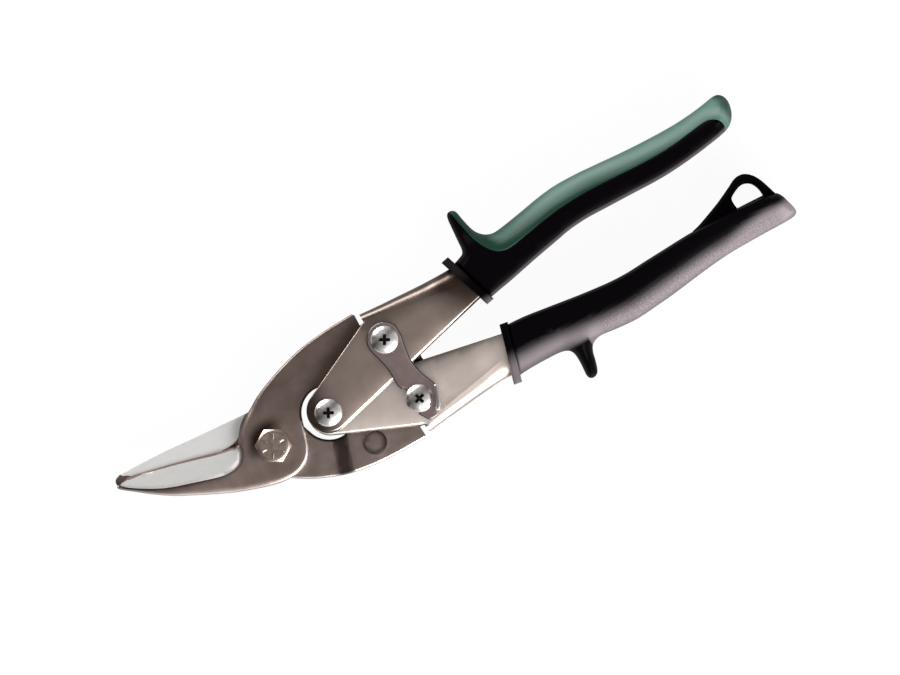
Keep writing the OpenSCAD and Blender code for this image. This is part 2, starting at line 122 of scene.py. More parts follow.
def closed(pitch: float, *parts: Array) -> Array:
    """Closed outline with short spans, without its first point repeated, and anticlockwise.

    Args:
        pitch: Longest span.
        parts: Its stretches, one after another.

    Returns:
        The outline's points.
    """
    loop = evened(ring_of(np.vstack(parts)), pitch)[:-1]
    keep = radial(loop, np.roll(loop, 1, 0)) > 1e-3
    loop = loop[keep]
    x, y = loop.T
    area = np.sum(x * np.roll(y, -1) - np.roll(x, -1) * y)
    return loop if area > 0 else loop[::-1]


def inside(points: Array, loop: Array) -> Array:
    """Which points lie inside a closed outline.

    Args:
        points: Plan points.
        loop: The outline.

    Returns:
        True for each that does.
    """
    x, y = points[:, :1], points[:, 1:]
    ax, ay = loop.T
    bx, by = np.roll(loop, -1, 0).T
    crosses = (ay > y) != (by > y)
    with np.errstate(divide="ignore", invalid="ignore"):
        at = ax + (y - ay) * (bx - ax) / (by - ay)
    return (np.where(crosses, x < at, False).sum(1) % 2).astype(bool)


def nearest(points: Array, line: Array) -> tuple[Array, Array]:
    """Distance from points to a line of spans, and where along it the nearest place is.

    Args:
        points: Plan points.
        line: The line's points.

    Returns:
        Distances, and places as a point's number plus a share of the span after it.
    """
    start, span = line[:-1], line[1:] - line[:-1]
    size = np.maximum((span ** 2).sum(1), TINY)
    distance, place = [], []
    for part in np.array_split(points, max(1, len(points) // 2000)):
        to = part[:, None, :] - start[None]
        share = np.clip((to * span).sum(2) / size, 0, 1)
        gap = np.linalg.norm(to - share[..., None] * span, axis=2)
        best = gap.argmin(1)
        rows = np.arange(len(part))
        distance.append(gap[rows, best])
        place.append(best + share[rows, best])
    return np.concatenate(distance), np.concatenate(place)


def ring_of(loop: Array) -> Array:
    """A closed outline with its first point repeated at the end."""
    return np.vstack([loop, loop[:1]])


def beside(line: Array, by: float | Array) -> Array:
    """A line moved to its left.

    Args:
        line: The line's points.
        by: One distance, or one per point.

    Returns:
        The moved points.
    """
    way = np.gradient(line, axis=0)
    way /= np.maximum(np.linalg.norm(way, axis=1, keepdims=True), TINY)
    return line + np.column_stack([-way[:, 1], way[:, 0]]) * np.reshape(by, (-1, 1))


def radial(points: Array, centre: Sequence[float] = (0, 0), scale: Sequence[float] = (1, 1)) -> Array:
    """Distance of plan points from a centre, with X and Y scaled."""
    return np.linalg.norm((points - np.asarray(centre)) * scale, axis=1)


def ease(value: Array, low: float | Array, high: float | Array) -> Array:
    """Smooth step from 0 at low to 1 at high."""
    share = np.clip((value - low) / (high - low), 0, 1)
    return share * share * (3 - 2 * share)


def fade(value: Array, low: float | Array, high: float | Array) -> Array:
    """Smooth step from 1 at low to 0 at high."""
    return 1 - ease(value, low, high)


def close_to(points: Array, line: Array, near: float, far: float) -> Array:
    """Shares from 1 at plan points nearer to a line than near to 0 at those beyond far."""
    return fade(nearest(points, line)[0], near, far)


# solids


@dataclass
class Edge:
    """A stretch of an outline that is rounded over, with the solid on its left.

    Attributes:
        line: Points along the stretch.
        run: How far in the rounding reaches, one number or one per point.
        drop: How far it falls at the outline, the run if it isn't given.
        steps: Rings of points across the rounding.
    """

    line: Array
    run: float | Array
    drop: float | Array | None = None
    steps: int = 4

    def sizes(self, place: Array) -> tuple[Array, Array]:
        """Run and drop at places along the stretch.

        Args:
            place: Places, as a point's number plus a share of the span after it.

        Returns:
            Runs and drops.
        """
        count = np.arange(len(self.line))
        run = np.interp(place, count, np.broadcast_to(self.run, len(self.line)))
        drop = self.run if self.drop is None else self.drop
        return run, np.interp(place, count, np.broadcast_to(drop, len(self.line)))

    def share(self, points: Array) -> tuple[Array, Array]:
        """How much of the full height is left at plan points, and the drop there.

        Args:
            points: Plan points.

        Returns:
            Shares and drops.
        """
        distance, place = nearest(points, self.line)
        run, drop = self.sizes(place)
        near = np.clip(1 - distance / np.maximum(run, TINY), 0, 1)
        return np.sqrt(np.maximum(1 - near * near, 0)), drop

    def fall(self, points: Array) -> Array:
        """How far the rounding lowers the face at plan points."""
        left, drop = self.share(points)
        return drop * (1 - left)

    def rings(self) -> list[Array]:
        """Lines inside the outline where the rounding bends.

        Returns:
            A line for each step.
        """
        run, _ = self.sizes(np.arange(len(self.line)))
        turns = np.radians(np.linspace(0, 90, self.steps + 1)[1:])
        return [beside(self.line, run * (1 - math.cos(turn))) for turn in turns]


@dataclass
class Shell:
    """A closed skin, in millimetres.

    Attributes:
        points: Its points.
        faces: Its faces, as numbers of points.
        values: Named values at the points, for the finish.
    """

    points: Array
    faces: list[Sequence[int]]
    values: dict[str, Array] = field(default_factory=dict)

    def joined(self, other: "Shell") -> "Shell":
        """Both skins as one.

        Args:
            other: The other skin.

        Returns:
            The joined skin, with values of 0 where one has none.
        """
        start = len(self.points)
        return Shell(
            np.vstack([self.points, other.points]),
            [*self.faces, *([k + start for k in face] for face in other.faces)],
            {name: np.concatenate([part.values.get(name, np.zeros(len(part.points))) for part in (self, other)])
             for name in sorted({*self.values, *other.values})},
        )

    def mirrored(self, axis: int) -> "Shell":
        """The skin mirrored along one axis: 1 across the tool, 2 upside down."""
        way = np.where(np.arange(3) == axis, -1, 1)
        return Shell(self.points * way, [list(face)[::-1] for face in self.faces], self.values)


@dataclass
class Relief:
    """A solid whose upper and lower faces are heights over an outline.

    Attributes:
        outline: Closed outline, anticlockwise.
        top: Height of the upper face at plan points.
        bottom: The same for the lower face, or one height if it is flat, or none if it mirrors the upper one.
        holes: Closed outlines of holes.
        edges: Rounded stretches, which place rings of points.
        lines: Other lines that edges of the mesh follow.
        pitch: Distance between the points that fill the faces.
        fine: Areas with a pitch of their own, as pairs of an outline and a pitch.
        values: Named values at plan points, for the finish.
    """

    outline: Array
    top: Height
    bottom: Height | float | None = None
    holes: list[Array] = field(default_factory=list)
    edges: list[Edge] = field(default_factory=list)
    lines: list[Array] = field(default_factory=list)
    pitch: float = 2.0
    fine: list[tuple[Array, float]] = field(default_factory=list)
    values: dict[str, Height] = field(default_factory=dict)

    def holds(self, points: Array) -> Array:
        """Which points lie in the outline and outside the holes.

        Args:
            points: Plan points.

        Returns:
            True for each that does.
        """
        found = inside(points, self.outline)
        for hole in self.holes:
            found &= ~inside(points, hole)
        return found

    def fill(self, loop: Array, pitch: float) -> Array:
        """Fills a loop with a triangular grid.

        Args:
            loop: Closed outline.
            pitch: The grid's pitch.

        Returns:
            The grid's points inside it.
        """
        low, high = loop.min(0), loop.max(0)
        rows = []
        for number, y in enumerate(np.arange(low[1], high[1], pitch * 0.866)):
            x = np.arange(low[0] + (number % 2) * pitch / 2, high[0], pitch)
            rows.append(np.column_stack([x, np.full(len(x), y)]))
        grid = np.vstack(rows)
        return grid[inside(grid, loop)]

    def plan(self) -> tuple[Array, list[list[int]]]:
        """Triangles over the outline.

        Returns:
            Plan points, and triangles as lists of three numbers.
        """
        points: list[Array] = []
        links: list[tuple[int, int]] = []
        count = 0
        walls = [ring_of(self.outline), *(ring_of(hole) for hole in self.holes)]
        for loop in (self.outline, *self.holes):
            size = len(loop)
            points.append(loop)
            links += [(count + k, count + (k + 1) % size) for k in range(size)]
            count += size

        def clear(line: Array, room: float) -> Array:
            """Which points lie in the solid and clear of its walls.

            Args:
                line: Plan points.
                room: Least distance to a wall.

            Returns:
                True for each that does.
            """
            kept = self.holds(line)
            for wall in walls:
                kept &= nearest(line, wall)[0] > room
            return kept

        rings = [ring for edge in self.edges for ring in edge.rings()]
        for line in (*rings, *self.lines):
            kept = clear(line, 0.02)
            numbers = np.cumsum(kept) - 1 + count
            points.append(line[kept])
            links += [(int(numbers[k]), int(numbers[k + 1])) for k in range(len(line) - 1) if kept[k] and kept[k + 1]]
            count += int(kept.sum())
        marked = np.vstack(points)
        for loop, pitch in [*self.fine, (self.outline, self.pitch)]:
            grid = self.fill(loop, pitch)
            grid = grid[clear(grid, pitch * 0.45)]
            far = np.ones(len(grid), bool)
            for part in np.array_split(marked, max(1, len(marked) // 500)):
                gap = np.linalg.norm(grid[:, None] - part[None], axis=2).min(1)
                far &= gap > pitch * 0.5
            marked = np.vstack([marked, grid[far]])
        flat, _, triangles, *_ = delaunay_2d_cdt([Vector(p) for p in marked], links, [], 0, 1e-5, False)
        plan = np.array([tuple(p) for p in flat])
        middle = np.array([plan[list(t)].mean(0) for t in triangles])
        keep = self.holds(middle)
        return plan, [list(t) for t, kept in zip(triangles, keep) if kept]

    def shell(self) -> Shell:
        """Builds both faces and the walls between them.

        Returns:
            The closed skin.
        """
        plan, triangles = self.plan()
        used = sorted({k for t in triangles for k in t})
        number = {old: new for new, old in enumerate(used)}
        plan = plan[used]
        triangles = [[number[k] for k in t] for t in triangles]
        turned = [t if np.cross(plan[t[1]] - plan[t[0]], plan[t[2]] - plan[t[0]]) > 0 else t[::-1] for t in triangles]
        high = self.top(plan)
        low = -high if self.bottom is None else self.bottom
        low = low(plan) if callable(low) else np.broadcast_to(low, len(plan))
        meets = high - low < 1e-4
        below = np.where(meets, np.arange(len(plan)), np.cumsum(~meets) - 1 + len(plan))
        points = np.vstack([np.column_stack([plan, high]), np.column_stack([plan, low])[~meets]])
        faces = [list(t) for t in turned] + [[int(below[k]) for k in reversed(t)] for t in turned]
        spans = {(t[k], t[(k + 1) % 3]) for t in turned for k in range(3)}
        for a, b in spans:
            if (b, a) in spans:
                continue
            wall = [b, a, int(below[a]), int(below[b])]
            wall = [k for n, k in enumerate(wall) if k not in wall[:n]]
            if len(wall) > 2:
                faces.append(wall)
        values = {name: np.concatenate([v := np.asarray(find(plan), float), v[~meets]])
                  for name, find in self.values.items()}
        return Shell(points, faces, values)


def turned_shell(centre: Sequence[float], profile: Array, sides: int = 72) -> Shell:
    """Skin of a turned piece whose profile closes on itself or starts and ends on the axis.

    Args:
        centre: The axis in plan.
        profile: Radius and height pairs, run so that the solid is on the left.
        sides: Points round the axis.

    Returns:
        The closed skin.
    """
    turn = np.linspace(0, 2 * math.pi, sides, endpoint=False)
    points, rows = [], []
    for radius, height in profile:
        if radius < TINY:
            rows.append([len(points)] * sides)
            points.append((centre[0], centre[1], height))
        else:
            rows.append(list(range(len(points), len(points) + sides)))
            points += [(centre[0] + radius * math.cos(a), centre[1] + radius * math.sin(a), height) for a in turn]
    pairs = list(zip(rows, rows[1:]))
    if profile[0][0] > TINY:
        pairs.append((rows[-1], rows[0]))
    faces = []
    for one, two in pairs:
        for k in range(sides):
            m = (k + 1) % sides
            face = [one[k], one[m], two[m], two[k]]
            face = [v for n, v in enumerate(face) if v not in face[:n]]
            if len(face) > 2:
                faces.append(face)
    return Shell(np.array(points), faces)


def tube_shell(path: Array, radius: float, sides: int = 14) -> Shell:
    """Skin of a round wire along a path, with rounded ends.

    Args:
        path: Points of the wire's centre line.
        radius: The wire's radius.
        sides: Points round the wire.

    Returns:
        The closed skin.
    """
    way = np.gradient(path, axis=0)
    way /= np.linalg.norm(way, axis=1, keepdims=True)
    across = np.cross(way, [0, 0, 1])
    across /= np.linalg.norm(across, axis=1, keepdims=True)
    up = np.cross(across, way)
    stations = [(path[0] - way[0] * radius * 0.4, 0, 0.6), *((p, k, 1.0) for k, p in enumerate(path)),
                (path[-1] + way[-1] * radius * 0.4, len(path) - 1, 0.6)]
    turn = np.linspace(0, 2 * math.pi, sides, endpoint=False)
    points = [middle + radius * size * (across[k] * math.cos(a) + up[k] * math.sin(a))
              for middle, k, size in stations for a in turn]
    faces: list[Sequence[int]] = []
    for row in range(len(stations) - 1):
        for k in range(sides):
            a, b = row * sides + k, row * sides + (k + 1) % sides
            faces.append([a, b, b + sides, a + sides])
    faces.append(list(range(sides))[::-1])
    faces.append(list(range((len(stations) - 1) * sides, len(stations) * sides)))
    return Shell(np.array(points), faces)


# shader sums


@dataclass(frozen=True)
class Value:
    """A node's output that can stand in a sum, which adds the nodes that the sum needs."""

    graph: "Graph"
    socket: bpy.types.NodeSocket

    def sum(self, operation: str, *others: object) -> "Value":
        """One Math node on this value and others."""
        inputs = dict(enumerate((self, *others)))
        return self.graph.out("ShaderNodeMath", {"operation": operation}, inputs)

    def __add__(self, other: object) -> "Value":
        """This plus another."""
        return self.sum("ADD", other)

    def __radd__(self, other: object) -> "Value":
        """Another plus this."""
        return self.sum("ADD", other)

    def __sub__(self, other: object) -> "Value":
        """This less another."""
        return self.sum("SUBTRACT", other)

    def __rsub__(self, other: float) -> "Value":
        """A number less this."""
        return self.sum("MULTIPLY", -1.0) + other

    def __mul__(self, other: object) -> "Value":
        """This times another."""
        return self.sum("MULTIPLY", other)

    def __rmul__(self, other: object) -> "Value":
        """Another times this."""
        return self.sum("MULTIPLY", other)

    def larger(self, other: object) -> "Value":
        """The larger of this and another."""
        return self.sum("MAXIMUM", other)

    def step(self, low: float, high: float) -> "Value":
        """Smooth step from 0 at low to 1 at high."""
        return self.graph.out("ShaderNodeMapRange", {"interpolation_type": "SMOOTHSTEP", "clamp": True},
                              {"Value": self, "From Min": low, "From Max": high}, "Result")


@dataclass(frozen=True)
class Graph:
    """The node tree of a material or world."""

    tree: bpy.types.NodeTree

    def node(self, kind: str, settings: dict | None = None, inputs: dict | None = None) -> bpy.types.Node:
        """Adds a node.

        Args:
            kind: The node's type.
            settings: Properties, set first. A colour ramp's stops are pairs of a place and a colour.
            inputs: Values or links of its sockets, by name or number.

        Returns:
            The node.
        """
        made = self.tree.nodes.new(kind)
        for name, value in (settings or {}).items():
            if name != "stops":
                setattr(made, name, value)
                continue
            elements = made.color_ramp.elements
            while len(elements) < len(value):
                elements.new(1.0)
            for element, (place, colour) in zip(elements, value):
                element.position, element.color = place, colour
        for name, value in (inputs or {}).items():
            if isinstance(value, Value):
                self.tree.links.new(value.socket, made.inputs[name])
            else:
                made.inputs[name].default_value = value
        return made

    def out(self, kind: str, settings: dict | None = None, inputs: dict | None = None,
            output: str | int = 0) -> Value:
        """Adds a node and returns one of its outputs."""
        return Value(self, self.node(kind, settings, inputs).outputs[output])

    def colour(self, share: object, first: object, second: object) -> Value:
        """First colour at a share of 0, second at 1."""
        return self.out("ShaderNodeMix", {"data_type": "RGBA"}, {0: share, 6: first, 7: second}, 2)

    def place(self, scale: Sequence[float] = (1, 1, 1), turn: float = 0.0) -> Value:
        """Place on the object in millimetres, turned about Z and then scaled.

        Args:
            scale: Scale along X, Y and Z.
            turn: Turn in radians.

        Returns:
            The place as a vector.
        """
        here = self.out("ShaderNodeTexCoord", None, None, "Object")
        turned = self.out("ShaderNodeMapping", None,
                          {"Vector": here, "Rotation": (0, 0, turn), "Scale": (1000, 1000, 1000)})
        return self.out("ShaderNodeVectorMath", {"operation": "MULTIPLY"}, {0: turned, 1: tuple(scale)})

    def noise(self, size: float, detail: float = 3.0, scale: Sequence[float] = (1, 1, 1),
              turn: float = 0.0) -> Value:
        """Noise from 0 to 1 whose patches are about a size across, in millimetres."""
        return self.out("ShaderNodeTexNoise", None,
                        {"Vector": self.place(scale, turn), "Scale": 1 / size, "Detail": detail}, "Fac")

    def value(self, name: str) -> Value:
        """A named value of the mesh's points."""
        return self.out("ShaderNodeAttribute", {"attribute_name": name}, None, "Fac")


def new_material(name: str) -> tuple[bpy.types.Material, Graph]:
    """Makes an empty node material.

    Args:
        name: The material's name.

    Returns:
        The material and its graph.
    """
    made = bpy.data.materials.new(name)
    made.use_nodes = True
    made.node_tree.nodes.clear()
    return made, Graph(made.node_tree)


def close_material(graph: Graph, surface: dict) -> None:
    """Adds the surface shader and the output."""
    shader = graph.out("ShaderNodeBsdfPrincipled", None, surface, "BSDF")
    graph.node("ShaderNodeOutputMaterial", None, {"Surface": shader})


# finishes


@dataclass(frozen=True)
class SteelFinish:
    """Satin or forged steel whose edges are worn brighter and carry painted highlights, with painted shade where the
    mesh marks it.

    Attributes:
        name: The material's name.
        base: Colour of the open faces.
        shade: Colour of the darker patches.
        edge: Colour of the worn edges and of the painted highlights.
        ground: Colour of ground faces, where the mesh marks them.
        rough: Roughness of the open faces.
        grain: Size of the surface's grain in millimetres.
        relief: Depth of that grain in millimetres.
        lie: Direction of the grinding marks, in degrees from X.
    """

    name: str
    base: Colour
    shade: Colour
    edge: Colour
    ground: Colour = (0.8, 0.8, 0.8, 1.0)
    rough: float = 0.4
    grain: float = 0.25
    relief: float = 0.012
    lie: float = 0.0

    def material(self) -> bpy.types.Material:
        """Builds the material.

        Returns:
            The material.
        """
        made, graph = new_material(self.name)
        patches = graph.noise(5.0, 4.0)
        speckle = graph.noise(self.grain, 2.0)
        wear = graph.value("wear")
        ground = graph.value("ground")
        dark = graph.value("dark")
        body = graph.colour((patches * 0.75 + speckle * 0.5).step(0.35, 0.9), self.shade, self.base)
        marks = graph.noise(0.16, 1.0, (1.0, 0.06, 1.0), -math.radians(self.lie)) * 0.45 + speckle * 0.55
        bright = graph.colour(marks.step(0.3, 0.75), tuple(c * 0.86 for c in self.ground[:3]) + (1.0,), self.ground)
        # worn edges, with painted highlights on the edges and bends that the mesh marks
        body = graph.colour((wear * (0.75 + patches * 0.5)).step(0.2, 1.0) * 0.9, body, self.edge)
        # the mesh's dark value mixes towards near black: mostly painted shade and shadow, and also the rear blade's
        # darker unground tip
        colour = graph.colour(dark, graph.colour(ground, body, bright), (0.022, 0.010, 0.006, 1.0))
        metallic = 1 - ground * 0.55
        rough = (self.rough + (patches - 0.5) * 0.06 - wear * 0.08) * (1 - ground) + ground * (0.42 + marks * 0.12)
        height = speckle * (1 - ground) + marks * ground * 0.6
        bump = graph.out("ShaderNodeBump", None,
                         {"Strength": 0.7, "Distance": self.relief * MM, "Height": height}, "Normal")
        close_material(graph, {"Base Color": colour, "Metallic": metallic, "Roughness": rough, "Normal": bump})
        return made


@dataclass(frozen=True)
class PlatedFinish:
    """Bright plated or plain small steel parts, with painted shade and painted reflections where the mesh marks them.

    Attributes:
        name: The material's name.
        base: Colour of the metal.
        tint: Colour of its duller patches.
        rough: Roughness.
        relief: Depth of its fine grain in millimetres.
    """

    name: str
    base: Colour
    tint: Colour
    rough: float = 0.22
    relief: float = 0.004

    def material(self) -> bpy.types.Material:
        """Builds the material.

        Returns:
            The material.
        """
        made, graph = new_material(self.name)
        patches = graph.noise(1.6, 3.0)
        fine = graph.noise(0.14, 2.0)
        dark = graph.value("dark")
        colour = graph.colour(patches.step(0.3, 0.75), self.tint, self.base)
        # painted shade and painted reflection: the mesh's dark value mixes towards near black
        colour = graph.colour(dark, colour, (0.02, 0.016, 0.015, 1.0))
        bump = graph.out("ShaderNodeBump", None,
                         {"Strength": 0.6, "Distance": self.relief * MM, "Height": fine}, "Normal")
        rough = self.rough + (patches - 0.5) * 0.14 + dark * 0.3
        close_material(graph, {"Base Color": colour, "Metallic": 1.0, "Roughness": rough, "Normal": bump})
        return made


@dataclass(frozen=True)
class MouldedFinish:
    """Moulded grip plastic, with a leather grain where the mesh marks one, and painted shade, sheen and highlights
    where the mesh marks them.

    Attributes:
        name: The material's name.
        base: Colour of the plastic.
        rubbed_and_highlit: Colour where it is rubbed, and of the painted highlight.
        painted_shading_colour: Colour that the painted shading leads to: a painted sheen on black, painted shade on
            green.
        rough: Roughness.
        grain: Depth of the leather grain in millimetres.
        sheen: Strength of the surface's reflection.
    """

    name: str
    base: Colour
    rubbed_and_highlit: Colour
    painted_shading_colour: Colour
    rough: float = 0.42
    grain: float = 0.12
    sheen: float = 0.5

    def material(self) -> bpy.types.Material:
        """Builds the material.

        Returns:
            The material.
        """
        made, graph = new_material(self.name)
        patches = graph.noise(9.0, 3.0)
        fine = graph.noise(0.35, 2.0)
        cells = graph.out("ShaderNodeTexVoronoi", {"feature": "DISTANCE_TO_EDGE"},
                          {"Vector": graph.place(), "Scale": 1 / 0.95, "Randomness": 1.0}, "Distance")
        leather = graph.value("grain")
        # random rubbed patches, and the painted highlight that the mesh marks
        rubbed_and_highlit = patches.step(0.3, 0.8) * 0.15 + graph.value("rub") * 0.7
        colour = graph.colour(rubbed_and_highlit, self.base, self.rubbed_and_highlit)
        on_cells = 1 - leather * (1 - cells.step(0.0, 0.3)) * 0.3
        # painted shading: shade on the green cover, sheen on the black plastic
        colour = graph.colour(graph.value("tone") * on_cells, colour, self.painted_shading_colour)
        height = fine * 0.12 + cells.step(0.0, 0.28) * leather
        bump = graph.out("ShaderNodeBump", None,
                         {"Strength": 0.8, "Distance": self.grain * MM, "Height": height}, "Normal")
        rough = self.rough + (patches - 0.5) * 0.08 + leather * 0.04
        close_material(graph, {"Base Color": colour, "Roughness": rough, "Normal": bump,
                               "Specular IOR Level": self.sheen})
        return made


class Finish(Enum):
    """The finishes of the tool's pieces."""

    FRONT_BLADE = SteelFinish("forged_front_blade", (0.375, 0.285, 0.252, 1), (0.29, 0.22, 0.195, 1),
                              (0.86, 0.82, 0.79, 1), (0.41, 0.401, 0.391, 1), 0.40, 0.22, 0.012, 77.5)
    REAR_BLADE = SteelFinish("forged_rear_blade", (0.30, 0.235, 0.21, 1), (0.225, 0.175, 0.155, 1),
                             (0.70, 0.66, 0.63, 1), (0.555, 0.542, 0.53, 1), 0.40, 0.22, 0.012, 100.0)
    # The two handle steels are one steel: the lower copy is painted lighter and the upper darker, as painted light and
    # shade.
    UPPER_HANDLE = SteelFinish("satin_handle_steel_painted_darker", (0.95, 0.76, 0.67, 1), (0.87, 0.69, 0.61, 1),
                               (0.97, 0.92, 0.85, 1), rough=0.34, grain=0.16, relief=0.006)
    LOWER_HANDLE = SteelFinish("satin_handle_steel_painted_lighter", (0.98, 0.85, 0.775, 1), (0.92, 0.79, 0.715, 1),
                               (0.97, 0.93, 0.88, 1), rough=0.36, grain=0.16, relief=0.006)
    LATCH = SteelFinish("blued_latch_steel", (0.45, 0.34, 0.318, 1), (0.37, 0.28, 0.262, 1),
                        (0.72, 0.69, 0.69, 1), rough=0.32, grain=0.2, relief=0.006)
    ZINC = PlatedFinish("bright_zinc_plate", (0.86, 0.83, 0.81, 1), (0.70, 0.66, 0.64, 1), 0.24, 0.002)
    BOLT = PlatedFinish("oiled_bolt_steel", (0.42, 0.33, 0.29, 1), (0.33, 0.255, 0.22, 1), 0.34, 0.009)
    BRASS = PlatedFinish("sintered_bush_metal", (0.62, 0.48, 0.26, 1), (0.45, 0.33, 0.17, 1), 0.4)
    SPRING = PlatedFinish("dark_spring_wire", (0.16, 0.15, 0.15, 1), (0.09, 0.085, 0.085, 1), 0.34)
    NYLON = MouldedFinish("blue_nylon", (0.05, 0.13, 0.32, 1), (0.09, 0.2, 0.42, 1), (0.05, 0.13, 0.32, 1), 0.38, 0.02)
    # BLACK's third colour is its painted sheen, GREEN's is its painted shade.
    BLACK = MouldedFinish("black_grip_plastic", (0.0012, 0.0007, 0.0012, 1), (0.002, 0.0015, 0.002, 1),
                          (0.25, 0.216, 0.224, 1), 0.40, 0.12, 0.02)
    GREEN = MouldedFinish("green_soft_cover", (0.0865, 0.174647, 0.141263, 1), (0.14996, 0.212231, 0.191202, 1),
                          (0.001821, 0.024158, 0.012983, 1), 0.42, 0.04, 0.13)

    def paint(self, piece: bpy.types.Object) -> None:
        """Gives a piece this finish alone.

        Args:
            piece: The piece.
        """
        made = bpy.data.materials.get(self.value.name) or self.value.material()
        piece.data.materials.clear()
        piece.data.materials.append(made)


@dataclass
class Fitter:
    """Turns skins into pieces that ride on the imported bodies.

    Attributes:
        pieces: How many it has dressed.
    """

    pieces: int = 0

    def add(self, name: str, shell: Shell, finish: Finish, body: str, slot: str, replaces: Sequence[str] = (),
            sharp: float = 32.0) -> None:
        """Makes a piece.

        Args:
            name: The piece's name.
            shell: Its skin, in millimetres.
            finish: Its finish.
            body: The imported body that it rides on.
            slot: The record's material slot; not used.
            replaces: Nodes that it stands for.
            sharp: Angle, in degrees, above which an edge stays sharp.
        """
        mesh = bpy.data.meshes.new(name)
        placed = (shell.points + [0, 0, MID_Z]) * MM
        mesh.from_pydata(placed.tolist(), [], shell.faces)
        mesh.validate()
        mesh.polygons.foreach_set("use_smooth", [True] * len(mesh.polygons))
        mesh.set_sharp_from_angle(angle=math.radians(sharp))
        for key, values in shell.values.items():
            if len(values) == len(mesh.vertices):
                mesh.attributes.new(key, "FLOAT", "POINT").data.foreach_set("value", values.astype(np.float32))
        piece = bpy.data.objects.new(name, mesh)
        bpy.context.scene.collection.objects.link(piece)
        finish.paint(piece)
        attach(piece, body)
        if replaces:
            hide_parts(*replaces)
        self.pieces += 1
        LOG.info("%s: %d faces, rides on %s", name, len(mesh.polygons), body)

    def keep(self, node: str, finish: Finish, slot: str) -> None:
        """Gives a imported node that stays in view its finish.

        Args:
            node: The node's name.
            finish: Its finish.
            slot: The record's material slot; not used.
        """
        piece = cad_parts[node]
        finish.paint(piece)
        self.pieces += 1
        LOG.info("%s: packed node kept", node)


# the tool's plan


@dataclass(frozen=True)
class Linkage:
    """Sizes that the sub-assemblies share.

    Attributes:
        handle_pin: The handles' pivot in plan.
        upper_pin: The upper arm's pin in plan.
        lower_pin: The lower arm's pin in plan.
        blade: Thickness of a blade.
        gap: Half the gap between the blades.
        half_arm: Half the thickness of an arm.
        lower_in: Height of the lower channel's inner face.
        lower_out: Height of its outer face.
        upper_in: Height of the upper channel's inner face.
        upper_out: Height of its outer face.
        latch_z: Height of the latch's underside.
        latch_top: Height of its upper face.
        head_z: Height of the arm screws' undersides.
        grip_x: Where the grips start.
        tail_x: Where the channels end.
        arm_pin_r: Radius of the arms' pins.
        handle_pin_r: Radius of the handles' pin.
        bolt_r: Radius of the bolt.
        bolt_clear: Clearance round the bolt.
        run_clear: Clearance in and beside the turning joints.
        float_clear: Clearance round the lower pin, where the linkage is opened.
    """

    handle_pin: tuple[float, float] = (22.0255, 0.0)
    upper_pin: tuple[float, float] = (51.4873, 11.7)
    lower_pin: tuple[float, float] = (51.4873, -11.7)
    blade: float = 4.4
    gap: float = 0.025
    half_arm: float = 2.2
    lower_in: float = 2.3
    lower_out: float = 3.9
    upper_in: float = 4.1
    upper_out: float = 5.7
    latch_z: float = 6.42
    latch_top: float = 8.02
    head_z: float = 8.08
    grip_x: float = 88.0255
    tail_x: float = 182.0255
    arm_pin_r: float = 3.4
    handle_pin_r: float = 3.0
    bolt_r: float = 3.175
    bolt_clear: float = 0.04
    run_clear: float = 0.06
    float_clear: float = 0.22


LINK = Linkage()
UPPER = np.array(LINK.upper_pin)
LOWER = np.array(LINK.lower_pin)
HINGE = np.array(LINK.handle_pin)


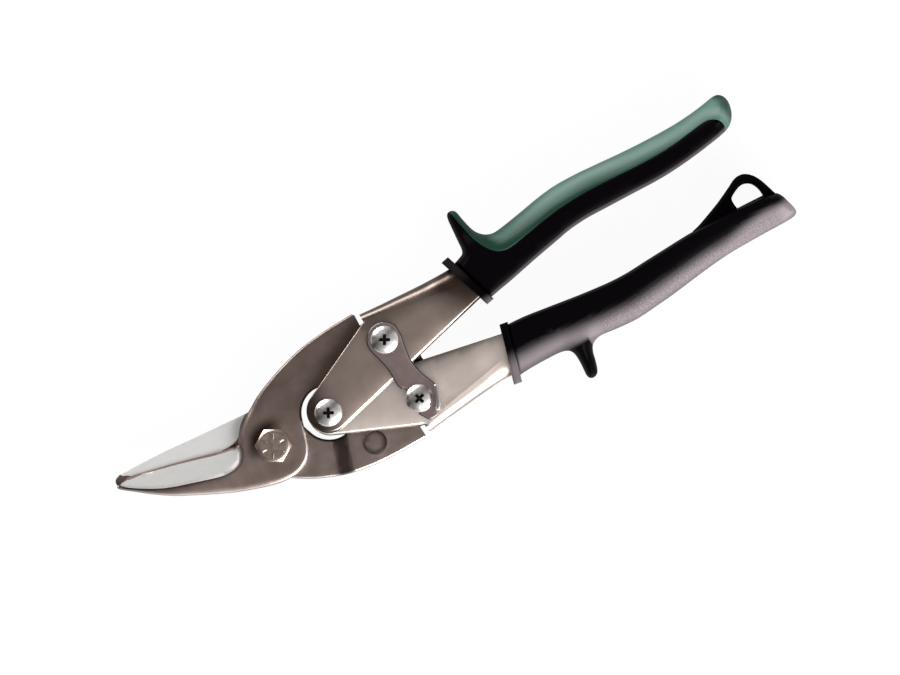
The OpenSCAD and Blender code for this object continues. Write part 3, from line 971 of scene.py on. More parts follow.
@dataclass
class Blades:
    """The two forged blades, each a ground jaw, a pivot boss and an offset arm.

    Attributes:
        slope: Slope of the arms' direction and of the ramps across them, in degrees.
        front_ramp: Where the front arm's soft ramp starts and ends along the arm.
        rear_ramp: The same for the rear arm's steep one.
        grind: Slope of the ground faces, in degrees.
        land: Width of the cutting edges' lands, and their height behind and at the edge.
        eye: Radius of the eye round each arm's pin.
        scoop: Radius of the scoop that clears the handles' noses.
        thin: Thickness of the forgings along X.
    """

    slope: float = 20.0
    front_ramp: tuple[float, float] = (18.5, 33.0)
    rear_ramp: tuple[float, float] = (20.0, 25.6)
    grind: float = 16.5
    land: tuple[float, float, float] = (0.75, 0.9, 0.12)
    eye: float = 8.6
    scoop: float = 9.4
    thin: tuple[tuple[float, float], ...] = (
        (-56, 1.2), (-53, 1.45), (-50, 1.95), (-45, 2.55), (-40, 3.0), (-35, 3.25), (-30, 3.42), (-25, 3.56),
        (-20, 3.72), (-16, 3.92), (-12, 4.15), (-8, 4.35), (-5, 4.4), (60, 4.4))

    def along(self, points: Array) -> Array:
        """Place along the upper arm's direction."""
        way = math.radians(self.slope)
        return points @ [math.cos(way), math.sin(way)]

    def across(self, place: float) -> Array:
        """Line across the upper arm.

        Args:
            place: Where it crosses, along the arm.

        Returns:
            The line's points.
        """
        way = math.radians(self.slope)
        reach = np.linspace(-30, 30, 41)[:, None]
        return place * pts((math.cos(way), math.sin(way))) + reach * pts((-math.sin(way), math.cos(way)))

    def front_step(self, points: Array) -> Array:
        """Share of the front arm's offset, from 0 at the jaw to 1 at the arm."""
        return ease(self.along(points), *self.front_ramp)

    def rear_step(self, points: Array) -> Array:
        """Share of the rear arm's offset, with eased corners.

        Args:
            points: Plan points.

        Returns:
            Shares from 0 to 1.
        """
        low, high = self.rear_ramp
        place = self.along(flipped(points))
        return np.mean([np.clip((place + by - low) / (high - low), 0, 1) for by in (-0.3, -0.1, 0.1, 0.3)], axis=0)

    def back(self, points: Array) -> Array:
        """Thickness of the forging at plan points, which thins towards the tip."""
        place, size = np.array(self.thin).T
        return np.interp(points[:, 0], place, size)

    def plane(self, points: Array, heel: Array, tip: Array, side: float) -> Array:
        """Height of the ground face above the blade's inner face.

        Args:
            points: Plan points.
            heel: Heel end of the cutting edge's chord.
            tip: Tip end of it.
            side: 1 if the back lies below the chord, -1 if above.

        Returns:
            Heights.
        """
        way = (tip - heel) / np.linalg.norm(tip - heel)
        out = np.array([-way[1], way[0]]) * side
        return self.land[1] + (points - heel) @ out * math.tan(math.radians(self.grind))

    def scoop_rim(self, points: Array) -> Array:
        """Painted shade along the rim of the scoop, at plan points."""
        return 0.97 * fade(np.abs(radial(points, HINGE) - self.scoop), 0.45, 1.0)

    def arm(self, peak: float) -> Array:
        """Outline of an arm round its eye and up to its shoulder, drawn on the upper side.

        Args:
            peak: How far the shoulder lies above the pin.

        Returns:
            The outline's points.
        """
        return np.vstack([
            arc(HINGE, self.scoop, 165, 92), [UPPER + [-14, -3.4]], arc(UPPER, self.eye, 225, 450, 40),
            [UPPER + [-4.9, self.eye], UPPER + [-4.75, peak - 0.7]],
        ])

    def front(self) -> Shell:
        """The front blade, whose ground face and pivot boss face up.

        Returns:
            Its skin.
        """
        heel, tip = pts((-10.6, 6.4), (-52, 15.6))
        cutting = smooth(pts(heel, (-14, 6.8), (-17.5, 7.7), (-30, 11.4), (-46.9, 15.8), (-50, 16.1), tip), 12)
        under = smooth(pts(tip, (-53.4, 15.5), (-53.95, 14.9), (-53.2, 13.8), (-49.9, 11.1), (-44.9, 7.1),
                           (-40, 3.6), (-35, 0.6), (-20, -7), (-7, -11.7), (0, -12.7), (4, -12), (7.5, -10),
                           (9.8, -6.9), (11.2, -3.2), (12.63, 1.6)), 8)
        over = smooth(pts(UPPER + [-5.4, 13.4], UPPER + [-16, 13.2], (25, 23.9), (15, 21.5), (5, 17.9),
                          (0, 15.2), (-4, 12.9), (-8, 9.7), heel), 8)
        outline = closed(0.9, under, self.arm(13.4), over, cutting[1:-1])
        where = under[:, 0]
        hem = Edge(under, np.interp(where, [-52, -45, -25, -5, 6, 11], [1.0, 1.5, 2.2, 2.1, 1.3, 0.9]),
                   np.interp(where, [-54, -50, -40, -25, -5, 6, 11], [0.7, 0.9, 1.1, 1.3, 1.3, 1.0, 0.8]), 5)
        shoulder = Edge(over, np.interp(over[:, 0], [-10.6, -7, 0, 6, 14, 30], [2.2, 2.8, 2.5, 1.5, 1.0, 0.7]),
                        np.interp(over[:, 0], [-10.6, -7, 0, 6, 14, 30], [2.6, 2.0, 1.2, 0.8, 0.7, 0.6]), 6)
        limit = smooth(pts((-52.7, 15.0), (-51.5, 13.85), (-50, 12.6), (-45, 9.3), (-40, 6.6), (-35, 4.6), (-30, 2.9),
                           (-25, 1.2), (-21, 0), (-18, -0.45), (-15, -0.3), (-12.6, 0.6), (-10.9, 2.4), (-9.9, 4.4),
                           (-9.9, 6.0)), 8)
        upper = smooth(pts((-9.9, 6.0), (-10.8, 5.75), (-12, 5.8), (-14, 6.1), (-17.5, 6.95), (-20, 7.6), (-30, 10.7),
                           (-40, 13.5), (-47, 15.05), (-50, 15.5), (-52.0, 15.45), (-52.7, 15.0)), 8)
        face = np.vstack([limit[:-1], upper[:-1]])
        heel_turn, heel_fillet = limit[-34:], limit[-44:]
        reach = np.interp(limit[:, 0], [-53, -30, -24, -20, -15, -10], [0.4, 0.45, 0.7, 1.4, 2.3, 2.0])

        def body(p: Array) -> Array:
            """Height of the forging before it is ground."""
            step = (LINK.blade - LINK.half_arm) * self.front_step(p)
            return self.back(p) - step - np.maximum(hem.fall(p), shoulder.fall(p))

        def ground(p: Array) -> Array:
            """Share of the ground face, which runs out at the heel."""
            run_out = 0.6 * close_to(p, heel_turn, 0.1, 2.4)
            return inside(p, face) * (1 - run_out * (p[:, 1] < 5.0))

        def top(p: Array) -> Array:
            """Upper face, with the ground face, its fillet and the cutting land.

            Args:
                p: Plan points.

            Returns:
                Heights.
            """
            whole, plane = body(p), self.plane(p, heel, tip, 1)
            gap, place = nearest(p, limit)
            near = np.clip(1 - gap / np.interp(place, np.arange(len(limit)), reach), 0, 1)
            rise = 1 - np.sqrt(1 - near ** 2)
            sunk = plane + np.maximum(whole - plane, 0) * rise
            edge, _ = nearest(p, cutting)
            width, height, low = self.land
            land = low + (height - low) * edge / width
            on_face = inside(p, face)
            jaw = (p[:, 0] < -10.2) & (edge < 2.2) & ~on_face
            return np.where(on_face, np.minimum(sunk, whole), np.where(jaw, np.minimum(land, whole), whole))

        def bottom(p: Array) -> Array:
            """Lower face, which meets the rear blade and steps down at the arm."""
            eased = np.maximum(Edge(under, 0.4, 0.3).fall(p), Edge(over, 0.4, 0.3).fall(p))
            return np.minimum(LINK.gap - (LINK.half_arm + LINK.gap) * self.front_step(p) + eased, top(p) - 0.02)

        def wear(p: Array) -> Array:
            """How bright the outline is: rubbed wear, and a painted highlight along the lower edge and the brow."""
            return np.maximum(close_to(p, under, 0.2, 1.2), 0.3 * close_to(p, over, 0.4, 1.2))

        def dark(p: Array) -> Array:
            """Painted shade: the heel slot, a band below the ground face, the open face towards the handles, the
            shadows of the flange and the bolt head, the scoop's rim, the fillet, the land and the brow's outline.

            Args:
                p: Plan points.

            Returns:
                Shares from 0 to 1.
            """
            on_face = inside(p, face)
            # painted shade in the gap at the heel
            heel_slot = 0.95 * fade(radial(p, (-11.9, 6.3), (0.6, 1.4)), 0.5, 1.1)
            below = nearest(p, limit)[0]
            # painted shade below the ground face's lower limit
            painted_limit_shade = 0.8 * fade(below, 0.1, 0.7) + 0.5 * fade(below, 0.2, 3.2) * fade(p[:, 0], -34, -14)
            # painted shade over the open face, more towards the handles
            arm = 0.2 + 0.26 * ease(p[:, 0] + p[:, 1], 8, 20)
            # painted shadow of the upper channel's flange
            painted_flange_shadow = 0.28 * close_to(p, pts((19.3, 7.5), (46, 19.8)), 0.5, 7)
            # painted shadow round the bolt head, on its upper side
            painted_bolt_shadow = 0.75 * fade(radial(p), 6.5, 10.6) * ease(p @ [-0.45, 0.9], 0, 6)
            open_face = ease(p[:, 0], -20, -4) * (arm + painted_flange_shadow + painted_bolt_shadow) * ~on_face
            # painted shade in the fillet round the ground face
            fillet = np.maximum(0.7 * close_to(p, heel_fillet, 0.1, 1.9), 0.5 * fade(below, 0.1, 0.8))
            # painted shade on the cutting land
            land = 0.66 * (nearest(p, cutting)[0] < 0.9) * (p[:, 0] < -11) * ~on_face
            past = nearest(p, over)[0]
            # painted dark outline and shade along the brow
            brow = np.maximum(0.7 * fade(past, 0.15, 0.5), 0.42 * fade(past, 0.4, 3.2) * fade(p[:, 0], -5, 3))
            found = [heel_slot, painted_limit_shade * ~on_face, open_face, self.scoop_rim(p), fillet * on_face, land, brow]
            return np.clip(np.max(found, axis=0), 0, 0.97)

        lines = [*(arc(HINGE, self.scoop + by, 168, 90) for by in (0.25, 0.5, 0.85, 1.2)),
                 beside(limit, 0.04), beside(limit, -0.04), beside(limit, -0.5), beside(upper, 0.04),
                 beside(upper, -0.04), *(beside(limit, reach * share) for share in (0.12, 0.3, 0.55, 0.8, 1.0)),
                 *(self.across(place) for place in np.linspace(*self.front_ramp, 9))]
        jaw = closed(2, under[:64], pts((-5, -11.5), (-3, 14)), over[-14:], cutting)
        bore = circle(UPPER, LINK.arm_pin_r + LINK.run_clear, 48)
        return Relief(outline, top, bottom, [bore], [hem, shoulder], lines, 1.6, [(jaw, 0.8)],
                      {"ground": ground, "wear": wear, "dark": dark}).shell()

    def rear(self) -> Shell:
        """The rear blade, whose inner face shows above the front one's edge.

        Returns:
            Its skin.
        """
        tip, heel = pts((-53.6, 15.3), (-9.6, 1.6))
        cutting = smooth(pts(heel, (-18, 4.4), (-30, 8.8), (-46.9, 13.8), (-51.5, 15.2), tip), 12)
        over = smooth(pts((-3, 14.4), (-20, 16), (-35, 17.5), (-49.5, 18.35), (-51.6, 18.3), (-53.0, 17.65),
                          (-53.65, 16.6), tip), 8)
        scoop = flipped(smooth(pts((-3, -14.4), (2, -13.4), (7.5, -10), (9.8, -6.9), (11.2, -3.2), (12.63, 1.6)), 8))
        lower = flipped(smooth(pts(UPPER + [-5.4, 12.8], UPPER + [-16, 12.6], (25, 23.3), (15, 21), (5, 16.5),
                                   (-2, 11.5), (-7.5, 4.5), (-9.6, -1.6)), 8))[::-1]
        outline = closed(0.9, over[::-1], scoop[1:], flipped(self.arm(12.8)), lower[::-1], cutting[1:-1])
        nose = 34
        point = Edge(over[-nose:], np.linspace(0.2, 1.6, nose), np.linspace(0.1, 1.0, nose), 4)
        edges = [Edge(over[:1 - nose], 0.25, 0.2, 2), point, Edge(lower, 0.9, 0.75, 4)]
        dimple, depth = LOWER + [-21, -5.2], 0.3
        bare = smooth(pts((-51.2, 19.5), (-50.5, 17.9), (-49.9, 17.35), (-48.8, 16.85), (-47.4, 15.6), (-46, 14)), 5)
        hollow = smooth(pts((-24, 4), (-21, 6.6), (-19, 7.3), (-16.8, 7.5), (-14.6, 7.45), (-12.6, 7.55),
                            (-11.2, 7.8), (-9.3, 8.5), (-8, 10), (-6, 12.2), (-2, 14.9)), 5)
        bright = np.vstack([bare, hollow, pts((-2, 30), (-60, 30))])

        def top(p: Array) -> Array:
            """Upper face, with the arm's step and the round dimple.

            Args:
                p: Plan points.

            Returns:
                Heights.
            """
            arm = (LINK.half_arm + LINK.gap) * self.rear_step(p)
            fall = np.max([edge.fall(p) for edge in edges], axis=0)
            gap = radial(p, dimple)
            return arm - LINK.gap - fall - depth * fade(gap, 3.7, 4.02) + 0.05 * fade(abs(gap - 4.2), 0, 0.3)

        def bottom(p: Array) -> Array:
            """Lower face, with its own ground face.

            Args:
                p: Plan points.

            Returns:
                Heights.
            """
            body = self.back(p) - (LINK.blade - LINK.half_arm) * self.rear_step(p)
            body = body - Edge(over, 0.9, 0.8).fall(p) - Edge(lower, 0.5, 0.4).fall(p)
            wall = smooth(pts((-9.2, 1.8), (-9.6, 5), (-11, 8.6), (-15, 11.6), (-22, 13.2), (-35, 14.8),
                              (-53, 17.4)), 8)
            plane = self.plane(p, heel, tip, -1)
            near = np.clip(1 - nearest(p, wall)[0] / 2.0, 0, 1)
            sunk = plane + np.maximum(body - plane, 0) * (1 - np.sqrt(1 - near ** 2))
            region = np.vstack([cutting, wall[::-1]])
            return -np.where(inside(p, region), np.minimum(sunk, body), body)

        def ground(p: Array) -> Array:
            """1 where the inner face is bright."""
            return inside(p, bright).astype(float)

        def wear(p: Array) -> Array:
            """How bright the lower outline is: rubbed wear, with a painted highlight."""
            return close_to(p, lower, 0.2, 1.1)

        def dark(p: Array) -> Array:
            """Painted shade in the slot, the dimple's ring, the pocket by the heel, on the ramp and at the scoop's
            rim; the unground tip is darker.

            Args:
                p: Plan points.

            Returns:
                Shares from 0 to 1.
            """
            # painted shade in the slot at the heel
            slot = fade(radial(p, (-12.0, 6.5), (0.55, 1.2)), 0.4, 1.3)
            # painted shade in the dimple's ring
            ring = 0.8 * fade(abs(radial(p, dimple) - 3.8), 0.2, 0.6)
            nib = 0.42 * (p[:, 0] < -46) * (1 - ground(p))
            # painted shade beside the front blade's heel
            pocket = 0.3 * (p[:, 0] > -22) * (p[:, 0] < -4) * (p[:, 1] > 2) * (1 - ground(p))
            rise = self.rear_step(p)
            # painted shade on the arm's ramp
            ramp = 0.68 * ease(rise, 0.0, 0.15) * fade(rise, 0.85, 1.0)
            return np.max([slot, ring, nib, pocket, ramp, self.scoop_rim(p)], axis=0)

        rings = [ring_of(circle(dimple, r, 60)) for r in (3.5, 3.7, 3.86, 4.02, 4.2, 4.5)]
        low, high = self.rear_ramp
        ramps = [flipped(self.across(place)) for place in (low - 0.3, low, low + 0.3, high - 0.3, high, high + 0.3)]
        scoops = [arc(HINGE, self.scoop + by, -168, -90) for by in (0.25, 0.5, 0.85, 1.2)]
        lines = [*rings, *ramps, *scoops, *(beside(line, by) for line in (bare, hollow) for by in (-0.04, 0.04))]
        jaw = closed(2, cutting, over[::-1])
        bore = circle(LOWER, LINK.arm_pin_r + LINK.float_clear, 48)
        return Relief(outline, top, bottom, [bore], edges, lines, 1.6, [(jaw, 1.0)],
                      {"ground": ground, "wear": wear, "dark": dark}).shell()

    def build(self, fitter: Fitter) -> None:
        """Makes both blades.

        Args:
            fitter: Takes the pieces.
        """
        fitter.add("front_blade_forging", self.front(), Finish.FRONT_BLADE, "front_blade", "forged_steel",
                   ["front_blade"], 28)
        fitter.add("rear_blade_forging", self.rear(), Finish.REAR_BLADE, "rear_blade", "forged_steel",
                   ["rear_blade"], 28)


@dataclass
class BladePivot:
    """The bolt that holds the blades together, with its washer and lock nut.

    Attributes:
        flats: Distance across the flats of the head and the nut.
        head: Height of the head.
        washer: Thickness of the washer.
        nut: Height of the nut.
        collar: Height of its collar.
    """

    flats: float = 11.1
    head: float = 4.1
    washer: float = 1.0
    nut: float = 3.8
    collar: float = 1.4

    def hexagon(self) -> Array:
        """Outline of the bolt's head, with its corners eased."""
        corner = self.flats / 2 / math.cos(math.radians(30))
        return closed(0.45, arc((0, 0), corner, 30, 390, 6)[:-1])

    def chamfer(self, points: Array) -> Array:
        """How far the corners' chamfer lowers the outer face."""
        return np.maximum(radial(points) - self.flats * 0.448, 0) * math.tan(math.radians(30))

    def rings(self, *shares: float) -> list[Array]:
        """Rings whose radii are shares of the distance across the flats."""
        return [ring_of(circle((0, 0), self.flats * share, 60)) for share in shares]

    def bolt(self) -> Shell:
        """Head with six radial marks, and the shank down to the bench.

        Returns:
            Its skin.
        """
        face = LINK.blade + self.head

        def top(p: Array) -> Array:
            """Chamfered face with its marks and the groove at the rim.

            Args:
                p: Plan points.

            Returns:
                Heights.
            """
            radius, turn = radial(p), np.degrees(np.arctan2(p[:, 1], p[:, 0]))
            off = np.radians((turn + 30) % 60 - 30) * radius
            mark = np.clip(1 - np.abs(off) / 0.34, 0, 1) * ease(radius, 2.3, 2.7) * fade(radius, 4.1, 4.5)
            rim = 0.1 * (1 - np.clip(np.abs(radius - self.flats * 0.437) / 0.16, 0, 1))
            return face - self.chamfer(p) + 0.16 * mark - rim

        def dark(p: Array) -> Array:
            """Painted shade in the groove at the rim."""
            return 0.7 * fade(np.abs(radial(p) - self.flats * 0.44), 0.08, 0.32)

        head = Relief(self.hexagon(), top, LINK.blade, lines=self.rings(0.41, 0.425, 0.44, 0.448, 0.455, 0.47),
                      pitch=0.6, fine=[(circle((0, 0), 4.7, 40), 0.2)], values={"dark": dark}).shell()
        r, end = LINK.bolt_r, LINK.blade + 0.1
        shank = turned_shell((0, 0), pts((0, -MID_Z), (r - 0.5, -MID_Z), (r, -MID_Z + 0.5), (r, end), (0, end)))
        return head.joined(shank)

    def nut_body(self) -> Shell:
        """Lock nut, drawn upwards and turned over.

        Returns:
            Its skin.
        """
        low = LINK.blade + self.washer

        def top(p: Array) -> Array:
            """Chamfered face."""
            return low + self.nut - self.chamfer(p)

        bore = circle((0, 0), LINK.bolt_r + LINK.bolt_clear, 48)
        body = Relief(self.hexagon(), top, low, [bore], lines=self.rings(0.448, 0.452), pitch=0.8).shell()
        out, r, end = self.flats * 0.45, self.flats * 0.38, low + self.nut + self.collar
        collar = turned_shell((0, 0), pts((r, low + self.nut - 0.4), (out, low + self.nut - 0.4), (out, end - 0.7),
                                          (out - 0.25, end - 0.2), (out - 0.6, end), (r + 0.1, end), (r, end - 0.1)))
        return body.joined(collar).mirrored(2)

    def build(self, fitter: Fitter) -> None:
        """Makes the bolt, washer, nut and its ring.

        Args:
            fitter: Takes the pieces.
        """
        fitter.add("pivot_bolt_head", self.bolt(), Finish.BOLT, "front_blade", "bolt_steel", ["pivot_bolt"])
        fitter.add("pivot_lock_nut", self.nut_body(), Finish.ZINC, "front_blade", "bright_zinc", ["pivot_nut"])
        inner, outer = LINK.bolt_r + LINK.bolt_clear, self.flats * 0.62
        low, high = -LINK.blade - self.washer, -LINK.blade
        washer = turned_shell((0, 0), pts((inner, low + 0.1), (inner + 0.1, low), (outer - 0.25, low),
                                          (outer, low + 0.25), (outer, high), (inner, high)))
        fitter.add("pivot_flat_washer", washer, Finish.ZINC, "front_blade", "bright_zinc", ["pivot_washer"])
        fitter.keep("pivot_nut_ring", Finish.NYLON, "nylon_ring")


@dataclass(frozen=True)
class PaintedSteelShade:
    """Painted shade on a channel's steel, from 0 to 1, and how much more is painted in places; a share below 0 paints
    it lighter.

    Attributes:
        whole: In the open.
        fold: Beside the bend.
        grip: At the grip.
        nose: On the nose.
        free: Along the free edge.
        streak: On the bend.
    """

    whole: float
    fold: float
    grip: float
    nose: float
    free: float
    streak: float = 0.0


@dataclass
class Handles:
    """The two pressed channels. The upper one straddles the lower one at the handle pivot.

    Attributes:
        sheet: Thickness of the sheet.
        nose: Radius of the rounded noses.
        web_x: Where the webs start.
        crown: How far the flanges fall from their middle to their edges, and how far from the edges that starts.
        bend: Radius of the bend into the web at the front and at the grips.
    """

    sheet: float = 1.6
    nose: float = 7.7
    web_x: float = 48.337
    crown: tuple[float, float] = (0.18, 7.0)
    bend: tuple[float, float] = (2.6, 5.0)

    def outer(self) -> Array:
        """The web's outer face in plan, from the front to the tail."""
        return smooth(pts((self.web_x, 23.6), (60, 22.5), (82.03, 21.2), (120.03, 21.9), (150.03, 21.4),
                          (LINK.tail_x, 20.6)), 14)

    def free(self) -> Array:
        """The flange's free edge, from the web's front round the nose to the tail.

        Returns:
            The edge's points.
        """
        inner = smooth(pts((LINK.grip_x - 3, 6.7), (LINK.grip_x + 12, 9.8), (LINK.grip_x + 32, 12.8),
                           (LINK.grip_x + 62, 14), (LINK.tail_x, 14.5)), 10)
        nose = arc(HINGE + [0.45, 0.5], self.nose, 114.3, 283, 44)
        return np.vstack([[[self.web_x, 20.5]], [UPPER + [-4, 8.6]], nose, inner])

    def channel(self, z_in: float, z_out: float, bend: tuple[float, float], reach: Array, tone: PaintedSteelShade,
                lips: tuple[float, float], domed: float) -> Shell:
        """One channel, drawn with its web on the upper side.

        Args:
            z_in: Height of the flange's inner face.
            z_out: Height of its outer face.
            bend: How far the bend falls at the front and at the grips.
            reach: How far it reaches into the flanges, as pairs of a place along X and a reach.
            tone: Painted shade and light on the steel.
            lips: Rounding of the free edge before the nose and behind it.
            domed: How much further the flanges fall towards the web than towards the free edge.

        Returns:
            Both flanges and the web.
        """
        free, outer = evened(self.free(), 1.2), evened(self.outer(), 1.2)
        outline = closed(1.2, free, outer[::-1])
        radius = np.interp(outer[:, 0], [self.web_x, LINK.grip_x], bend)
        runs = np.interp(outer[:, 0], reach[:, 0], reach[:, 1])
        fold = Edge(outer[::-1], runs[::-1], radius[::-1], 7)
        nose_at = int(np.argmin(free[:, 0]))
        size = np.interp(np.arange(len(free)), [nose_at - 3, nose_at + 3], lips)
        lip, inner_lip = Edge(free, size, size * 1.15, 6), Edge(free, 0.3, 0.3, 2)
        crease = smooth(pts((57, 18.9), (63, 17.9), (72, 16.6), (82, 14.9)), 8)

        def top(p: Array) -> Array:
            """Outer face, crowned, with the bend, the lip and a faint ridge.

            Args:
                p: Plan points.

            Returns:
                Heights.
            """
            fall, width = self.crown
            gap, place = nearest(p, free)
            crown = fall * np.interp(place, np.arange(len(free)), size * 2.3) * np.clip(1 - gap / width, 0, 1) ** 2
            to_web = np.clip(1 - nearest(p, outer)[0] / (width * 1.8), 0, 1) ** 2
            crown = np.maximum(crown, fall * domed * to_web)
            ridge = 0.07 * close_to(p, crease, 0.0, 0.8)
            return z_out - crown + ridge - np.maximum(fold.fall(p), lip.fall(p))

        def bottom(p: Array) -> Array:
            """Inner face."""
            return np.minimum(z_in + inner_lip.fall(p), top(p) - 0.02)

        def wear(p: Array) -> Array:
            """How bright the lip, the ridge and the bend are: rubbed wear on the lip, and painted highlights on the
            lip, the ridge and the bend.

            Args:
                p: Plan points.

            Returns:
                Shares from 0 to 1.
            """
            gap, place = nearest(p, free)
            width = np.interp(place, np.arange(len(free)), size)
            on_lip = ease(width, 0.5, 1.0) * fade(gap, width * 0.4, width * 1.6)
            # painted highlight along the crease ridge
            on_crease = 0.25 * close_to(p, crease, 0.0, 0.9)
            # painted highlight along the bend
            on_fold = 0.7 * fade(np.abs(nearest(p, outer)[0] - 1.5), 0.5, 1.9)
            return np.max([on_lip, on_crease, on_fold], axis=0)

        def dark(p: Array) -> Array:
            """Painted shade on the steel: all over, beside the bend, on the bend, along the free edge and as its
            outline, at the grip and on the nose.

            Args:
                p: Plan points.

            Returns:
                Shares from 0 to 1.
            """
            x, in_from = p[:, 0], nearest(p, outer)[0]
            gap, place = nearest(p, free)
            # painted shade beside the bend, a painted dimming of the bend's highlight, and painted shade along the
            # free edge
            beside_fold = fade(np.abs(in_from - 3.8), 0.6, 5.0) * (x > self.web_x - 2)
            streak = fade(np.abs(in_from - 1.4), 0.5, 1.4) * fade(x, 71, 76)
            at_free = fade(gap, 0.4, 7.0) * ease(place, nose_at - 3, nose_at + 5)
            # painted dark outline along the upper channel's free edge
            hem = 0.8 * (tone.free > 0) * (x > 46) * fade(gap, 0.15, 0.5)
            found = hem + tone.streak * streak + (tone.whole + tone.fold * beside_fold + tone.free * at_free
                                                  + tone.grip * ease(x, 68, LINK.grip_x - 2)
                                                  + tone.nose * fade(x, 15, 30))
            return np.clip(found, 0, 0.95)

        holes = [circle(HINGE, LINK.handle_pin_r + LINK.run_clear, 40),
                 circle(UPPER, LINK.arm_pin_r + LINK.run_clear, 40)]
        ridges = [beside(crease, by) for by in (-0.8, -0.4, 0.0, 0.4, 0.8)]
        flange = Relief(outline, top, bottom, holes, [fold, lip], ridges, 2.4,
                        values={"wear": wear, "dark": dark}).shell()
        web_line = closed(1.2, outer[::-1], outer + [0, -self.sheet])

        def web_top(p: Array) -> Array:
            """Half the web's height."""
            return np.interp(p[:, 0], outer[:, 0], z_out - radius) + np.clip(nearest(p, outer)[0], 0, 0.8) * 0.3

        return flange.joined(flange.mirrored(2)).joined(Relief(web_line, web_top, pitch=3.0).shell())

    def build(self, fitter: Fitter) -> None:
        """Makes both channels.

        Args:
            fitter: Takes the pieces.
        """
        reach = pts((self.web_x, self.bend[0]), (LINK.grip_x, self.bend[1]))
        upper = self.channel(LINK.upper_in, LINK.upper_out, self.bend, reach,
                             PaintedSteelShade(0.58, 0.18, 0.40, 0.44, -0.05, 0.20), (0.35, 1.1), 1.0)
        fitter.add("upper_handle_channel", upper, Finish.UPPER_HANDLE, "upper_handle", "handle_steel",
                   ["upper_handle"])
        reach = pts((self.web_x, 2.6), (60, 3.1), (68, 3.1), (74, 3.5), (80, 4.7), (84, 5.6))
        lower = self.channel(LINK.lower_in, LINK.lower_out, (2.2, 3.6), reach,
                             PaintedSteelShade(0.14, -0.04, -0.24, 0.14, 0.36), (1.1, 0.35), 2.0)
        fitter.add("lower_handle_channel", lower.mirrored(1), Finish.LOWER_HANDLE, "lower_handle", "handle_steel",
                   ["lower_handle"])


